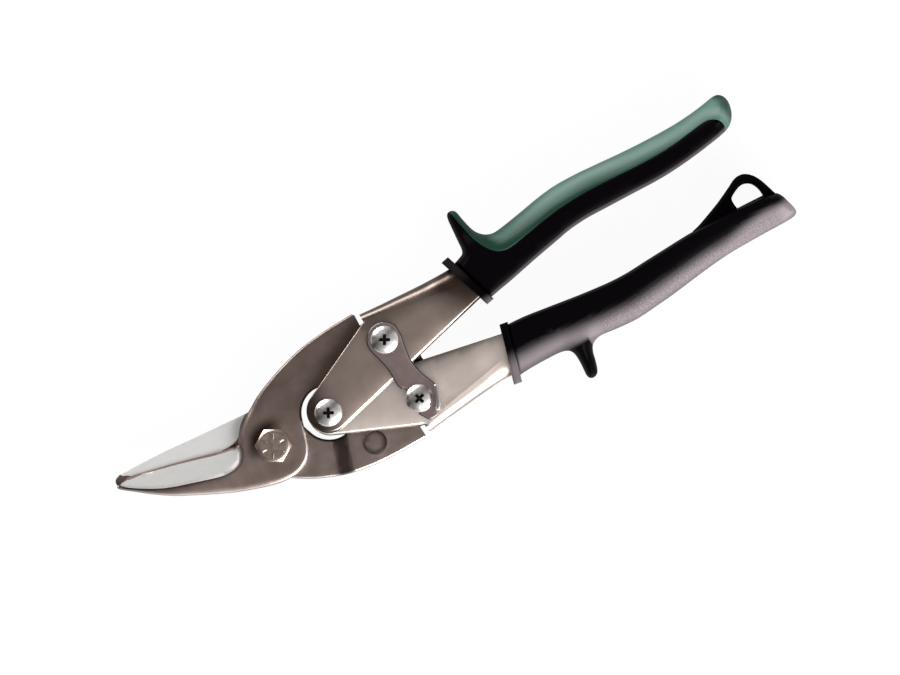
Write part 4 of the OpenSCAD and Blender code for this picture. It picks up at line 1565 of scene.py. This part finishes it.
@dataclass
class Pins:
    """Sleeve pins and the screws that close them.

    Attributes:
        head_r: Radius of the heads.
        head_h: Height of the screw heads.
        rear_h: Height of the rear heads.
        recess: Length, width and depth of the cross recess.
        walls: How far its walls lean in at the sides and the ends of its arms.
        thread_r: Radius of the screws' threads.
        bore_r: Radius of the sleeves' bores, and of the latch screw's neck.
    """

    head_r: float = 4.8
    head_h: float = 2.1
    rear_h: float = 1.7
    recess: tuple[float, float, float] = (3.9, 1.15, 1.35)
    walls: tuple[float, float] = (0.14, 0.55)
    thread_r: float = 1.76
    bore_r: float = 2.0

    def head(self, at: Array, base: float, turn: float) -> Shell:
        """Domed head with a cross recess.

        Args:
            at: The screw's axis in plan.
            base: Height of the head's underside.
            turn: Angle of the recess, in degrees.

        Returns:
            The head.
        """
        length, width, depth = self.recess
        slope, run = self.walls

        def arm(along: Array, across: Array) -> Array:
            """Depth of one pair of arms, from 0 to 1."""
            side = np.clip((width / 2 - np.abs(across)) / slope, 0, 1)
            return side * np.clip((length / 2 - np.abs(along)) / run, 0, 1)

        def cross(p: Array) -> Array:
            """Depth of the recess, from 0 at its mouth to 1 at its floor.

            Args:
                p: Plan points.

            Returns:
                Shares from 0 to 1.
            """
            way = math.radians(turn)
            u = (p - at) @ [math.cos(way), math.sin(way)]
            v = (p - at) @ [-math.sin(way), math.cos(way)]
            return np.maximum(arm(u, v), arm(v, u))

        def plus(inset: float, short: float) -> Array:
            """Outline of the recess at one depth.

            Args:
                inset: How far its sides lie inside those of its mouth.
                short: How much shorter its arms are.

            Returns:
                The outline in plan.
            """
            reach, half = length / 2 - short, width / 2 - inset
            quarter = pts((reach, -half), (reach, half), (half, half))
            turns = [math.radians(turn + 90 * k) for k in range(4)]
            corners = [quarter @ np.array([[math.cos(a), math.sin(a)], [-math.sin(a), math.cos(a)]]) for a in turns]
            return ring_of(closed(0.14, at + np.vstack(corners)))

        def top(p: Array) -> Array:
            """Dome with the recess."""
            dome = 0.3 + 0.7 * np.clip(1 - (radial(p, at) / self.head_r) ** 2, 0, 1) ** 0.75
            return base + self.head_h * dome - depth * cross(p)

        def painted_dome_shading(p: Array) -> Array:
            """Painted reflection as a dark band across the dome, and painted shade in the recess.

            Args:
                p: Plan points.

            Returns:
                Shares from 0 to 1.
            """
            along, across = ((p - at) @ [math.cos(a), math.sin(a)] / self.head_r for a in np.radians([11, 101]))
            # painted reflection: a dark band across the dome
            band = (0.66 + 0.2 * ease(-along, 0.2, 0.9)) * fade(np.abs(across - 0.2), 0.05, 0.42)
            return np.maximum(band, ease(cross(p), 0.1, 0.8))

        rim = circle(at, self.head_r, 84)
        lines = [ring_of(at + (rim - at) * share) for share in (0.996, 0.98, 0.95, 0.9, 0.82, 0.72)]
        lines += [plus(0.0, 0.0), plus(slope, run)]
        return Relief(rim, top, base, lines=lines, pitch=0.7, fine=[(circle(at, 2.2, 30), 0.12)],
                      values={"dark": painted_dome_shading}).shell()

    def stem(self, at: Array, radius: float, low: float, high: float) -> Shell:
        """Plain round stem."""
        return turned_shell(at, pts((0, low), (radius - 0.2, low), (radius, low + 0.2), (radius, high), (0, high)))

    def sleeve(self, at: Array, radius: float, low: float, high: float) -> Shell:
        """Sleeve with a domed rear head below it.

        Args:
            at: Its axis in plan.
            radius: Its radius.
            low: Height of the head's upper side.
            high: Height of the sleeve's end.

        Returns:
            Its skin.
        """
        dome = [(self.head_r * math.cos(a), low - self.rear_h * (0.4 + 0.6 * math.sin(a)))
                for a in np.radians(np.linspace(90, 0, 10))]
        return turned_shell(at, pts(*dome, (self.head_r, low), (radius, low), (radius, high), (self.bore_r, high),
                                    (self.bore_r, low + 1), (0, low + 1)))

    def build(self, fitter: Fitter) -> None:
        """Makes the three pins and their screws.

        Args:
            fitter: Takes the pieces.
        """
        pinned = LINK.upper_out + LINK.run_clear
        # name, axis, underside of the head, neck and tip of the screw, radius, low and high end of the sleeve,
        # body, angle of the recess
        table = (
            ("upper_arm", UPPER, LINK.head_z, LINK.head_z, -LINK.lower_out, LINK.arm_pin_r, -LINK.upper_out,
             LINK.head_z, "latch_pin", -31),
            ("lower_arm", LOWER, LINK.head_z, LINK.lower_out, -LINK.lower_in, LINK.arm_pin_r, -LINK.lower_out,
             LINK.lower_out, "lower_handle", 15),
            ("handle_pivot", HINGE, pinned, pinned, -LINK.lower_out, LINK.handle_pin_r, -LINK.upper_out, pinned,
             "lower_handle", -29),
        )
        for name, at, base, neck, tip, radius, low, high, body, turn in table:
            screw = self.head(at, base, turn).joined(self.stem(at, self.thread_r, tip, neck + 0.05))
            if base > neck:
                screw = screw.joined(self.stem(at, self.bore_r, neck, base + 0.05))
            fitter.add(f"{name}_screw_head", screw, Finish.ZINC, body, "bright_zinc", [f"{name}_screw"])
            fitter.add(f"{name}_sleeve", self.sleeve(at, radius, low, high), Finish.ZINC, body, "bright_zinc",
                       [f"{name}_pin"])
        fitter.keep("upper_arm_spacers", Finish.ZINC, "bright_zinc")


@dataclass
class Latch:
    """The hooked plate that holds the handles shut, on its own washer.

    Attributes:
        rounding: Rounding of the plate's edges.
        tab: Height of the thumb tab above the plate.
        notch: Radius of the notch that hooks the lower screw.
        washer: Width of the washer's ring.
    """

    rounding: float = 0.45
    tab: float = 3.6
    notch: float = 2.3
    washer: float = 2.1

    def outline(self) -> Array:
        """The plate's outline.

        Returns:
            The outline's points.
        """
        return closed(
            0.6, arc(UPPER, 6.2, 20, 198, 30),
            smooth(pts(*UPPER + pts((-4.9, -5.7), (-4.2, -9.7), (-4.1, -16.5)), LOWER + [-2.6, 5.2])),
            [LOWER + [-1.6, self.notch + 0.9]], arc(LOWER, self.notch, 75, -75, 16),
            LOWER + pts((-0.9, -self.notch - 0.6), (-3.0, -4.6), (-1.1, -7.8), (-0.4, -8.3), (2.4, -8.3)),
            smooth(LOWER + pts((3.6, -7.2), (5.5, -4.8), (7.2, -0.8), (7.2, 1.9))),
            smooth(pts(*LOWER + pts((5.3, 6.7), (4.5, 10.2), (4.3, 13.7)), UPPER + [4.9, -5.7], UPPER + [5.8, -1.7])))

    def plate(self) -> Shell:
        """The plate and its bent-up tab.

        Returns:
            Its skin.
        """
        outline = self.outline()
        edge = Edge(ring_of(outline), self.rounding, self.rounding, 3)
        low, high = LINK.latch_z, LINK.latch_top

        def top(p: Array) -> Array:
            """Upper face of the plate."""
            return high - edge.fall(p)

        def bottom(p: Array) -> Array:
            """Its lower face."""
            return low + edge.fall(p) * 0.6

        def wear(p: Array) -> Array:
            """How bright its edge is: rubbed wear, with a painted highlight."""
            return 0.6 * close_to(p, edge.line, 0.5, 0.9)

        def dark(p: Array) -> Array:
            """Painted shade along its outline."""
            return 0.85 * close_to(p, edge.line, 0.2, 0.5)

        hole = circle(UPPER, LINK.arm_pin_r + LINK.run_clear, 48)
        plate = Relief(outline, top, bottom, [hole], [edge], pitch=1.2, values={"wear": wear, "dark": dark}).shell()
        spine = smooth(LOWER + pts((4.0, -7.1), (6.0, -4.4), (8.2, 1.0)), 10)
        wall = closed(0.5, spine, (spine + [-1.5, 0.6])[::-1])
        rim = Edge(ring_of(wall), 0.55, 0.7, 3)

        def tab_top(p: Array) -> Array:
            """Upper end of the tab."""
            return high + self.tab - rim.fall(p)

        def rubbed_and_highlit(p: Array) -> Array:
            """The tab is bright all over."""
            return np.ones(len(p))

        return plate.joined(Relief(wall, tab_top, low, edges=[rim], pitch=0.6, values={"wear": rubbed_and_highlit}).shell())

    def build(self, fitter: Fitter) -> None:
        """Makes the latch and its washer.

        Args:
            fitter: Takes the pieces.
        """
        fitter.add("latch_plate", self.plate(), Finish.LATCH, "latch", "latch_steel", ["latch"])
        inner, outer = LINK.arm_pin_r + LINK.run_clear, LINK.arm_pin_r + self.washer
        low = LINK.upper_out + LINK.run_clear
        ring = turned_shell(UPPER, pts((inner, low), (outer - 0.1, low), (outer, low + 0.1), (outer, low + 0.5),
                                       (outer - 0.1, low + 0.6), (inner, low + 0.6)))
        fitter.add("latch_spring_washer", ring, Finish.ZINC, "latch_pin", "bright_zinc", ["latch_washer"])


@dataclass
class ReturnSpring:
    """The coil round the handle pivot and its two legs.

    Attributes:
        wire: Wire diameter.
        coil: Radius of the coil at the wire's centre.
        leg: Where the legs end, in plan.
        clear: Room between the coil and the lower channel.
    """

    wire: float = 1.5
    coil: float = 5.0
    leg: tuple[float, float] = (59.087, 0.4)
    clear: float = 0.2

    def build(self, fitter: Fitter) -> None:
        """Makes the coil with its lower leg, and the upper leg.

        Args:
            fitter: Takes the pieces.
        """
        rise = 2 * LINK.lower_in - self.wire - self.clear
        tilt = math.atan2(self.coil - self.leg[1], self.leg[0] - HINGE[0])
        start, sweep = tilt - math.pi / 2, 3 * math.pi + 2 * tilt
        share = np.linspace(0, 1, 97)
        turn = start - sweep * share
        coil = np.column_stack([HINGE[0] + self.coil * np.cos(turn), self.coil * np.sin(turn), rise * (share - 0.5)])
        foot = np.linspace((self.leg[0], -self.leg[1], -rise / 2), coil[0], 14)[:-1]
        head = np.linspace(coil[-1], (self.leg[0], self.leg[1], rise / 2), 14)
        fitter.add("return_spring_coil", tube_shell(np.vstack([foot, coil]), self.wire / 2), Finish.SPRING,
                   "lower_handle", "spring_steel", ["return_spring"])
        fitter.add("return_spring_upper_leg", tube_shell(head, self.wire / 2), Finish.SPRING, "upper_handle",
                   "spring_steel")
        fitter.keep("spring_bush", Finish.BRASS, "bushing_brass")


@dataclass
class Grips:
    """The moulded grips: a hard core with a soft cover above, and a single piece with a hanging loop below.

    Attributes:
        half: Half the grips' thickness.
        guard: Half the thickness of the finger guards.
        loop: Half the thickness of the hanging loop.
        collar: Half the height of the flanges at the front.
        groove: Width and depth of the parting groove round the soft cover.
    """

    half: float = 11.0
    guard: float = 8.5
    loop: float = 3.5
    collar: float = 10.4
    groove: tuple[float, float] = (0.45, 0.18)

    def upper_sides(self) -> tuple[Array, list[Edge]]:
        """Outline of the upper grip, drawn clockwise.

        Returns:
            The outline and its rounded sides.
        """
        front = smooth(pts((90.4, 5.5), (88.3, 12), (85.3, 21.9)), 4)
        horn = smooth(pts((85.3, 21.9), (87.5, 22.6), (89.4, 23.4), (90.2, 25), (90.5, 28), (91, 33), (91.4, 36.3),
                          (92.1, 37.9), (93.2, 38.3)), 6)
        back = smooth(pts((93.2, 38.3), (94.3, 38), (95.2, 36.8), (95.7, 34), (96.3, 31), (97, 28.6), (98, 26.9),
                          (99.5, 25.4), (101, 24.6), (102.7, 24.2), (105, 24.3), (109, 24.8), (115, 25.7),
                          (122, 26.8), (129, 27.4), (137, 27.15), (145, 26.4), (155, 25.4), (165, 24.7), (175, 24.4),
                          (183, 24.8), (188, 25.4), (191.3, 25.85), (193.4, 25.5), (194.8, 24), (195.25, 21.8),
                          (194.9, 19.5), (193.9, 17), (192.2, 14.9), (190.4, 13.8), (189, 13.3)), 6)
        inner = smooth(pts((189, 13.3), (185, 12.6), (177, 11.6), (168, 10.9), (160, 10.8), (150, 11.3), (140, 11.75),
                           (133, 12.05), (126, 11.7), (120, 10.7), (110, 9), (100, 7.1), (95, 6.3), (90.4, 5.5)), 6)
        reach = np.interp(np.arange(len(back)) / 6, [0, 4, 6, 8, 10, 12, 15, 20, 23, 26, 30],
                          [2.6, 2.4, 3.4, 5.2, 7.2, 8.6, 9.2, 8.6, 6.5, 4.6, 3.2])
        end = 141  # the back's point where the rear end starts
        sides = [
            Edge(front[::-1], 1.6, steps=5),
            Edge(horn[::-1], np.interp(np.arange(len(horn)), [0, 12, 24, 48], [3.5, 3.0, 2.2, 2.4])[::-1], steps=6),
            Edge(back[:end + 1][::-1], reach[:end + 1][::-1], steps=10),
            Edge(back[end:][::-1], 4.6, steps=8),
            Edge(inner[::-1], 1.9, steps=6),
        ]
        return np.vstack([front, horn[1:], back[1:], inner[1:-1]]), sides

    def seam(self) -> Array:
        """Where the soft cover meets the hard core, from the guard's tip to the inner edge at the rear.

        Returns:
            The seam's points.
        """
        return smooth(pts((93.2, 38.3), (93.7, 34.5), (94.4, 30.5), (95.3, 26.3), (96.4, 23.2), (97.7, 20.8),
                          (99.3, 18.8), (101.2, 17.5), (103.3, 16.9), (106, 16.9), (110, 17.5), (115, 18.3),
                          (120, 19.1), (127, 19.8), (135, 20), (142, 19.7), (150, 19.1), (157, 18.6), (165, 18.3),
                          (172, 18.6), (178, 19.2), (183, 19.7), (186, 19.4), (188.2, 18), (189.2, 16.2),
                          (189.3, 14.8), (189, 13.3)), 5)

    def tall(self, points: Array) -> Array:
        """Half the thickness at plan points, which falls from the grip's body out to a guard's tip."""
        high = points[:, 1]
        return self.half - (self.half - self.guard) * ease(high, 23.0, 31.0) - 1.2 * ease(high, 30.0, 38.0)

    def form(self, points: Array, sides: list[Edge]) -> Array:
        """Half the thickness of a grip with its sides rounded over.

        Args:
            points: Plan points.
            sides: The rounded sides.

        Returns:
            Heights.
        """
        high = self.tall(points)
        for side in sides:
            high = high * side.share(points)[0]
        return high

    def upper(self) -> tuple[Shell, Shell]:
        """The upper grip, parted along its seam.

        Returns:
            The hard core and the soft cover.
        """
        line, sides = self.upper_sides()
        seam = self.seam()
        first = int(nearest(seam[:1], line)[1][0] + 0.5)
        last = int(nearest(seam[-1:], line)[1][0] + 0.5)
        core_line = np.vstack([line[:first], seam, line[last + 1:]])
        cover_line = np.vstack([line[first + 1:last], seam[::-1]])
        width, depth = self.groove

        def top(p: Array) -> Array:
            """Upper face with the parting groove."""
            gap = np.clip(1 - nearest(p, seam)[0] / width, 0, 1)
            return np.maximum(self.form(p, sides) - depth * gap ** 1.5, 0)

        def painted_cover_shade(p: Array) -> Array:
            """Painted shade on the cover along the seam, at its root, along its edge and at its end.

            Args:
                p: Plan points.

            Returns:
                Shares from 0 to 1.
            """
            gap, x = nearest(p, seam)[0], p[:, 0]
            most = np.interp(x, (140, 152, 165, 178), (0.97, 0.85, 0.75, 0.35))
            reach = np.interp(x, (140, 152, 165, 178), (5.0, 3.9, 3.1, 2.2))
            near = most * fade(gap, 0.5, reach)
            root = 0.45 * fade(x, 100, 132)
            edge = 0.33 * close_to(p, sides[2].line, 0.4, 2.0)
            return np.clip(near + root + edge + 0.8 * ease(x, 189.5, 193.5), 0, 0.97)

        def streak(p: Array) -> Array:
            """Painted highlight: how pale the cover is painted along its crown."""
            crown = np.interp(p[:, 0], (104, 128, 140, 152, 165, 178, 186), (4.0, 4.9, 4.8, 4.0, 3.2, 2.2, 2.8))
            return fade(np.abs(nearest(p, seam)[0] - crown), 0.2, 2.4) * ease(p[:, 0], 96, 112)

        def painted_sheen(p: Array) -> Array:
            """Painted sheen along the core's inner edge."""
            return 0.27 * close_to(p, sides[-1].line, 0.4, 1.5)

        groove = [beside(seam, width * by) for by in (-1, -0.5, -0.2, 0.2, 0.5, 1)]
        core, cover = (
            Relief(closed(0.8, loop), top, edges=sides, lines=groove, values=values).shell()
            for loop, values in ((core_line, {"tone": painted_sheen}), (cover_line, {"tone": painted_cover_shade, "rub": streak})))
        return core, cover

    def flange(self, foot_painted_sheen: float, head_painted_sheen: float) -> Shell:
        """The flange at the front of a grip, drawn on the upper side.

        Args:
            foot_painted_sheen: Painted sheen on its inner end.
            head_painted_sheen: Painted sheen on its outer end.

        Returns:
            Its skin.
        """
        foot = np.array([LINK.grip_x + 0.15, 4.1])
        head = np.array([LINK.grip_x - 6.1, 24.4])
        line = closed(0.7, foot, foot + [2.75, 0.5], head + [2.75, 0.5], head)
        edge = Edge(ring_of(line), 1.1, 1.0, 4)

        def top(p: Array) -> Array:
            """Upper face."""
            return self.collar - edge.fall(p)

        def painted_sheen(p: Array) -> Array:
            """Painted sheen on the two ends."""
            return head_painted_sheen * ease(p[:, 1], 13, 20) + foot_painted_sheen * fade(p[:, 1], 4.5, 7.5)

        return Relief(line, top, edges=[edge], pitch=1.2, values={"tone": painted_sheen}).shell()

    def lower_sides(self) -> tuple[Array, list[Edge]]:
        """Outline of the lower grip, drawn on the upper side and clockwise.

        Returns:
            The outline and its rounded sides.
        """
        front = smooth(pts((90.2, 5.4), (87.9, 12), (84.9, 22.7)), 4)
        horn = smooth(pts((84.9, 22.7), (88.5, 22.5), (92, 22.5), (97, 22.7), (100.5, 22.95), (103, 23.5),
                          (104.6, 24.6), (105.3, 26.4), (105.4, 29), (105.2, 32), (105, 34.4), (105.5, 35.8),
                          (106.6, 36.4)), 6)
        back = smooth(pts((106.6, 36.4), (107.8, 36.2), (108.9, 35.3), (109.7, 33.6), (110.4, 31.3), (111, 29),
                          (111.9, 27.1), (113.2, 25.9), (115, 25.3), (117, 25.2), (121, 25.8), (126, 26.4),
                          (131, 26.7), (138, 26.3), (145, 25.8), (155, 24.7), (163, 23.95), (170, 23.6), (178, 23.7),
                          (185, 23.9), (190, 24.1), (193.6, 24.1), (195.3, 23.7), (196.15, 22.7), (196.1, 21.2),
                          (195.4, 18.3), (194.7, 15.9), (193.6, 14.1), (192, 13.2)), 6)
        inner = smooth(pts((192, 13.2), (188, 12.5), (183, 12), (176, 11.3), (168, 10.95), (160, 10.6), (150, 10.8),
                           (142, 11), (135, 11.2), (129, 10.9), (123, 10.2), (115, 9), (105, 7.3), (97, 6),
                           (90.2, 5.4)), 6)
        fore = np.arange(len(horn)) / 6
        reach = np.interp(np.arange(len(back)) / 6, [0, 4, 6, 8, 10, 12, 14, 18, 21, 23, 26, 28],
                          [2.4, 2.4, 3.6, 6, 8.6, 9.6, 9.8, 9.2, 6.8, 4.6, 3.4, 2.5])
        end = 135  # the back's point where the rear end starts
        sides = [
            Edge(front[::-1], 1.3, steps=5),
            Edge(horn[::-1], np.interp(fore, [0, 3, 5, 7, 8, 12], [8.5, 8.5, 6.5, 3.2, 2.4, 2.4])[::-1], steps=8),
            Edge(back[:end + 1][::-1], reach[:end + 1][::-1], steps=10),
            Edge(back[end:][::-1], 4.2, steps=8),
            Edge(inner[::-1], 1.5, steps=5),
        ]
        return np.vstack([front, horn[1:], back[1:], inner[1:-1]]), sides

    def lower(self) -> Shell:
        """The lower grip with its guard and hanging loop, drawn on the upper side and turned over.

        Returns:
            Its skin.
        """
        line, sides = self.lower_sides()

        def top(p: Array) -> Array:
            """Upper face."""
            return np.maximum(self.form(p, sides), 0)

        def grain(p: Array) -> Array:
            """Where the leather grain is."""
            return ease(p[:, 0], 113, 120) * fade(p[:, 0], 188, 193) * ease(p[:, 1], 17.0, 20.5)

        def painted_sheen(p: Array) -> Array:
            """Painted sheen on the outer side, less at the rim and on the guard.

            Args:
                p: Plan points.

            Returns:
                Shares from 0 to 1.
            """
            x, y = p.T
            inner = np.interp(x, *sides[-1].line.T)
            outer = np.interp(x, (84, 104, 108, 120, 131, 163, 190, 196), (22.6, 23, 24, 25.7, 26.7, 23.9, 24.1, 22.7))
            guard = (x < 112) * ease(y, 22.8, 24.5)
            share, rear = (y - inner) / (outer - inner), ease(x, 165, 188)
            rise = ease(share + 0.22 * rear, 0.5, 0.86)
            at_rim = (0.35 + 0.25 * (x < 112)) * ease(share, 0.9 - 0.1 * (x < 112), 1.02)
            return 0.86 * rise * (1 - at_rim) * (1 - guard) * (1 - 0.25 * fade(x, 105, 125))

        body = Relief(closed(0.8, line), top, edges=sides, pitch=1.6,
                      values={"grain": grain, "tone": painted_sheen}).shell()
        loop_line = closed(0.7, [[160, 14]], smooth(pts(
            (162, 10.5), (165, 9.8), (170, 8.1), (175, 6.2), (180, 3.95), (183, 2.5), (185.3, 2.1), (187.5, 2.8),
            (189.5, 4.7), (190.9, 7.2), (192, 10.5), (193, 14)), 6))
        hole = closed(0.7, smooth(pts(
            (179, 11.5), (178.8, 9.6), (179.1, 7.6), (181.2, 6.3), (183, 5.6), (184.6, 5.4), (186.2, 5.8),
            (187.6, 6.8), (188.5, 8.4), (189, 10.2), (189.1, 12.2)), 5))
        rim = Edge(ring_of(loop_line), 1.2, 1.2, 4)
        eye = Edge(ring_of(hole)[::-1], 1.0, 1.0, 4)

        def loop_top(p: Array) -> Array:
            """Upper face of the loop."""
            return self.loop - np.maximum(rim.fall(p), eye.fall(p))

        loop = Relief(loop_line, loop_top, holes=[hole], edges=[rim, eye], pitch=1.2).shell()
        return body.joined(self.flange(0.0, 0.5)).joined(loop).mirrored(1)

    def build(self, fitter: Fitter) -> None:
        """Makes the grips.

        Args:
            fitter: Takes the pieces.
        """
        core, cover = self.upper()
        fitter.add("upper_grip_core", core.joined(self.flange(0.35, 0.03)), Finish.BLACK, "upper_handle",
                   "black_plastic", ["upper_grip"], 40)
        fitter.add("upper_grip_soft_cover", cover, Finish.GREEN, "upper_handle", "green_cover",
                   ["upper_grip_cover"], 40)
        fitter.add("lower_grip_moulding", self.lower(), Finish.BLACK, "lower_handle", "black_plastic",
                   ["lower_grip"], 40)


# studio


@dataclass
class Studio:
    """Camera, floor and soft lights.

    Attributes:
        middle: Plan point at the view's middle, in metres.
        right: Plan direction that runs to the right in the view.
        across: Width of the view at the blades' height, in metres.
        lens: Focal length in millimetres.
    """

    middle: tuple[float, float] = (0.0712, 0.00084)
    right: tuple[float, float] = (0.8592, -0.5116)
    across: float = 0.3105
    lens: float = 200.0

    def camera(self) -> None:
        """Camera straight above the bench."""
        data = bpy.data.cameras.new("studio_camera")
        data.lens, data.sensor_width = self.lens, 36.0
        data.clip_start, data.clip_end = 0.01, 20.0
        camera = bpy.data.objects.new("studio_camera", data)
        bpy.context.scene.collection.objects.link(camera)
        away = self.across * self.lens / data.sensor_width
        x, y = self.right
        camera.matrix_world = (Matrix.Translation((*self.middle, MID_Z * MM + away))
                               @ Matrix(((x, -y, 0, 0), (y, x, 0, 0), (0, 0, 1, 0), (0, 0, 0, 1))))
        bpy.context.scene.camera = camera

    def floor(self) -> None:
        """Pale floor that looks white to the camera and keeps a faint shadow."""
        size = 3.0
        mesh = bpy.data.meshes.new("bench")
        mesh.from_pydata([(-size, -size, 0), (size, -size, 0), (size, size, 0), (-size, size, 0)], [], [(0, 1, 2, 3)])
        bench = bpy.data.objects.new("bench", mesh)
        bpy.context.scene.collection.objects.link(bench)
        made, graph = new_material("pale_bench")
        seen = graph.node("ShaderNodeLightPath")
        rays = [Value(graph, seen.outputs[name]) for name in
                ("Is Camera Ray", "Is Glossy Ray", "Is Transmission Ray")]
        plain = graph.out("ShaderNodeBsdfDiffuse", None, {"Color": (0.9, 0.9, 0.9, 1)})
        white = graph.out("ShaderNodeEmission", None, {"Color": (1, 1, 1, 1), "Strength": 1.0})
        grey = graph.out("ShaderNodeEmission", None, {"Color": (1, 1, 1, 1), "Strength": 0.3})
        seen_plain = graph.out("ShaderNodeMixShader", None, {0: rays[0] * 0.95, 1: plain, 2: white})
        mixed = graph.out("ShaderNodeMixShader", None, {0: rays[1].larger(rays[2]) * 0.9, 1: seen_plain, 2: grey})
        graph.node("ShaderNodeOutputMaterial", None, {"Surface": mixed})
        mesh.materials.append(made)

    def world(self) -> None:
        """Soft room: dim overhead, pale towards the horizon, brightest on the side of the main light."""
        world = bpy.data.worlds.new("studio_room")
        world.use_nodes = True
        world.node_tree.nodes.clear()
        graph = Graph(world.node_tree)
        way = graph.out("ShaderNodeTexCoord", None, None, "Generated")
        parts = graph.node("ShaderNodeSeparateXYZ", None, {0: way})
        x, y, z = (Value(graph, parts.outputs[k]) for k in range(3))
        x_right, y_right = self.right
        side = x * x_right + y * y_right
        high = y * x_right - x * y_right
        key = (side * 0.78 - high * 0.62 - 0.08).larger(0.0)
        horizon = (1 - z).step(0.55, 0.97)
        bright = 0.34 + key * 0.75 + horizon * 0.55 - (side * -1.0).larger(0.0) * (1 - horizon) * 0.34
        shade = bright.larger(0.04)
        seen = graph.node("ShaderNodeLightPath")
        camera = Value(graph, seen.outputs["Is Camera Ray"])
        strength = shade * (1 - camera) + camera
        back = graph.out("ShaderNodeBackground", None, {"Color": (1, 1, 1, 1), "Strength": strength})
        graph.node("ShaderNodeOutputWorld", None, {"Surface": back})
        bpy.context.scene.world = world

    def lamp(self, name: str, way: tuple[float, float, float], away: float, size: tuple[float, float],
             watts: float) -> None:
        """Area light aimed at the tool.

        Args:
            name: The light's name.
            way: Direction towards it: right and up in the view, and up from the bench.
            away: Its distance, in metres.
            size: Its width and height, in metres.
            watts: Its power.
        """
        data = bpy.data.lights.new(name, "AREA")
        data.shape, data.size, data.size_y, data.energy = "RECTANGLE", size[0], size[1], watts
        lamp = bpy.data.objects.new(name, data)
        bpy.context.scene.collection.objects.link(lamp)
        x, y = self.right
        right, up, high = Vector(way).normalized()
        aim = Vector((right * x - up * y, right * y + up * x, high))
        centre = Vector((*self.middle, MID_Z * MM))
        lamp.location = centre + aim * away
        lamp.rotation_mode = "QUATERNION"
        lamp.rotation_quaternion = aim.to_track_quat("Z", "Y")

    def build(self) -> None:
        """Sets up the studio."""
        scene = bpy.context.scene
        scene.view_settings.view_transform = "Standard"
        self.camera()
        self.floor()
        self.world()
        self.lamp("main_softbox", (0.75, -0.85, 0.80), 0.9, (0.75, 0.45), 14.0)
        self.lamp("far_softbox", (-0.60, 0.80, 0.50), 1.0, (0.8, 0.45), 12.0)


def main() -> None:
    """Builds the studio and every sub-assembly, in order."""
    logging.basicConfig(level=logging.INFO, format="%(name)s: %(message)s")
    Studio().build()
    fitter = Fitter()
    for part in (Blades(), BladePivot(), Handles(), Pins(), Latch(), ReturnSpring(), Grips()):
        part.build(fitter)
    LOG.info("%d pieces", fitter.pieces)


if __name__ == "__main__":
    main()
